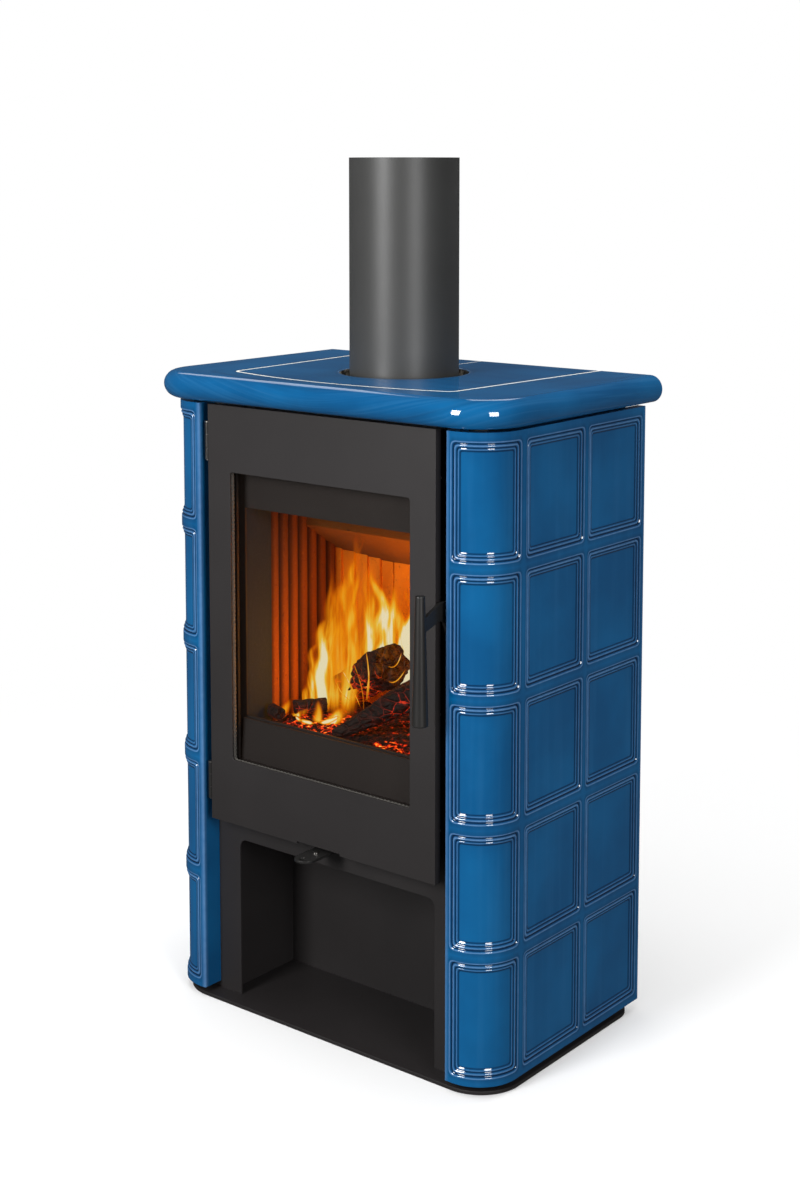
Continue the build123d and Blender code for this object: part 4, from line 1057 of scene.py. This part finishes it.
def makeGasket():
    low, high = boxOf("glass_gasket")
    r, sides = rope["radius"], rope["sides"]
    path = roundedPath(high.x - r, low.z + r, high.z - r, rope["corner"], rope["step"])
    y, turns = (low.y + high.y) / 2, round(len(path) * rope["step"] / rope["pitch"])
    points, faces = [], []
    for i, (x, z, ox, oz) in enumerate(path):
        phase = 2 * math.pi * turns * i / len(path)
        for k in range(sides):
            a = 2 * math.pi * k / sides
            size = r * (0.88 + 0.12 * math.cos(rope["strands"] * a - phase))
            points.append((x + ox * size * math.cos(a), y + size * math.sin(a),
                           z + oz * size * math.cos(a)))
    n = len(path)
    for i in range(n):
        for k in range(sides):
            m, q = (k + 1) % sides, (i + 1) % n
            faces.append((i * sides + k, i * sides + m, q * sides + m, q * sides + k))
    piece = addPiece("woven_gasket", points, faces, finishes["seal_cord"], "door",
                     ("glass_gasket",))
    outward(piece)


makeGasket()
edgeWidths = {"door_panel": 0.8, "front_frame": 0.4, "base_plate": 0.6, "log_retainer": 0.5,
              "latch_lever": 0.5, "air_lever": 0.5, "baffle_lower": 1.2, "back_lining_middle": 0.6,
              "back_lining_sides": 0.8, "firebox_jambs": 0.6, "grate": 1.0,
              "store_liner": 0.3, "rear_panel": 0.3, "latch_keeper": 0.4, "glass_clamp": 0.4,
              "door_stiffener": 0.4, "carcass_left": 0.4, "carcass_right": 0.4, "body_top": 0.3,
              "ash_pan": 0.4, "hinge_eyes": 0.3, "hinge_brackets": 0.3, "door_glass": 0.6}
for name, width in edgeWidths.items():
    softEdges(name, width * mm)
print("details made")


studio = {"sky": 0.07, "dim": 0.07, "floor": rgb(250, 250, 250), "bounce": (0.2, 0.2, 0.2, 1),
          "shadow": 0.8, "clear": (0.8, 1.8), "half": 12.0, "drop": 0.4 * mm, "middle": (0, 0, 0.6)}


def makeWorld():
    world = bpy.data.worlds.new("studio")
    scene.world = world
    world.use_nodes = True
    air = Finish("studio", world.node_tree)
    ray = lambda name: air.add("LightPath", {}, {}, name)
    seen = ray("Is Camera Ray").math("MAXIMUM", ray("Is Camera Ray"), ray("Is Transmission Ray"))
    mirrored = ray("Is Glossy Ray")
    level = seen + (1 - seen) * (mirrored * studio["dim"] + (1 - mirrored) * studio["sky"])
    background = world.node_tree.nodes["Background"]
    air.feed(background.inputs["Strength"], level)
    background.inputs["Color"].default_value = (1, 1, 1, 1)


def makeFloor():
    low, high = packedSize
    size = studio["half"]
    mesh = bpy.data.meshes.new("floor")
    corners = [(-size, -size), (size, -size), (size, size), (-size, size)]
    mesh.from_pydata([(x, y, low.z - studio["drop"]) for x, y in corners], [], [(0, 1, 2, 3)])
    floor = bpy.data.objects.new("floor", mesh)
    scene.collection.objects.link(floor)
    look = Finish("floor")
    spot = look.add("TexCoord", {}, {}, "Object")
    far = look.add("VectorMath", {"operation": "LENGTH"}, {0: spot}, "Value").between(*studio["clear"])
    seen = look.add("LightPath", {}, {}, "Is Camera Ray")
    look.set(Base_Color=look.mix(seen, studio["bounce"], studio["floor"]), Roughness=1.0,
             Specular_IOR_Level=0.0)
    glow = look.add("Emission", {}, {"Color": (1, 1, 1, 1), "Strength": 1.0}, 0)
    blend = look.add("MixShader", {}, {0: seen * (far + (1 - far) * (1 - studio["shadow"])),
                                       1: Signal(look, look.shader.outputs[0]), 2: glow})
    look.feed(look.tree.nodes["Material Output"].inputs["Surface"], blend)
    mesh.materials.append(look.material)
    floor.visible_glossy = False


def aim(thing, place, target):
    thing.location = place
    thing.rotation_mode = "QUATERNION"
    thing.rotation_quaternion = (Vector(target) - Vector(place)).to_track_quat("-Z", "Y")


def around(azimuth, elevation, distance, centre):
    a, e = math.radians(azimuth), math.radians(elevation)
    return Vector(centre) + distance * Vector((math.sin(a) * math.cos(e), -math.cos(a) * math.cos(e),
                                               math.sin(e)))


# azimuth, elevation, distance, width, height, power, seen in gloss
lamps = {
    "frontBox": (-5, 18, 2.6, 0.7, 1.3, 60, True),
    "sideBox": (62, 12, 2.6, 0.7, 1.2, 33, True),
    "topBox": (-135, 42, 3.2, 2.2, 1.2, 14, True),
    "leftFill": (-80, 20, 3.2, 2.0, 2.0, 32, False),
    "rearFill": (170, 30, 3.6, 2.6, 2.2, 70, False),
    "overhead": (20, 80, 3.0, 2.2, 2.2, 52, False),
}
fireLamps = {"heart": ((0.01, -0.03, 0.52), 0.05, 2.0), "left": ((-0.09, -0.04, 0.46), 0.03, 0.35),
             "right": ((0.09, -0.02, 0.50), 0.05, 1.6)}  # place, radius, power
fireColour = (1.0, 0.36, 0.0)


def makeLamps():
    centre = studio["middle"]
    for name, (azimuth, elevation, distance, width, height, power, gloss) in lamps.items():
        light = bpy.data.lights.new(name, "AREA")
        light.shape, light.size, light.size_y = "RECTANGLE", width, height
        light.energy = power
        lamp = bpy.data.objects.new(name, light)
        scene.collection.objects.link(lamp)
        aim(lamp, around(azimuth, elevation, distance, centre), centre)
        lamp.visible_glossy = gloss
    for name, (place, radius, power) in fireLamps.items():
        light = bpy.data.lights.new("fire_" + name, "POINT")
        light.energy, light.color, light.shadow_soft_size = power, fireColour, radius
        lamp = bpy.data.objects.new("fire_" + name, light)
        scene.collection.objects.link(lamp)
        lamp.location = place
        lamp.visible_glossy = lamp.visible_camera = lamp.visible_transmission = False


camera = {"place": (1.5747, -1.9463, 1.1710), "down": 5.999, "turn": 38.728, "lens": 55.58, "shift": -0.2}


def makeCamera():
    data = bpy.data.cameras.new("camera")
    data.lens, data.sensor_width, data.shift_y = camera["lens"], 36, camera["shift"]
    view = bpy.data.objects.new("camera", data)
    scene.collection.objects.link(view)
    view.location = camera["place"]
    view.rotation_euler = (math.radians(90 - camera["down"]), 0, math.radians(camera["turn"]))
    scene.camera = view


makeWorld()
makeFloor()
makeLamps()
makeCamera()
scene.view_settings.view_transform = "Standard"
print("studio made")
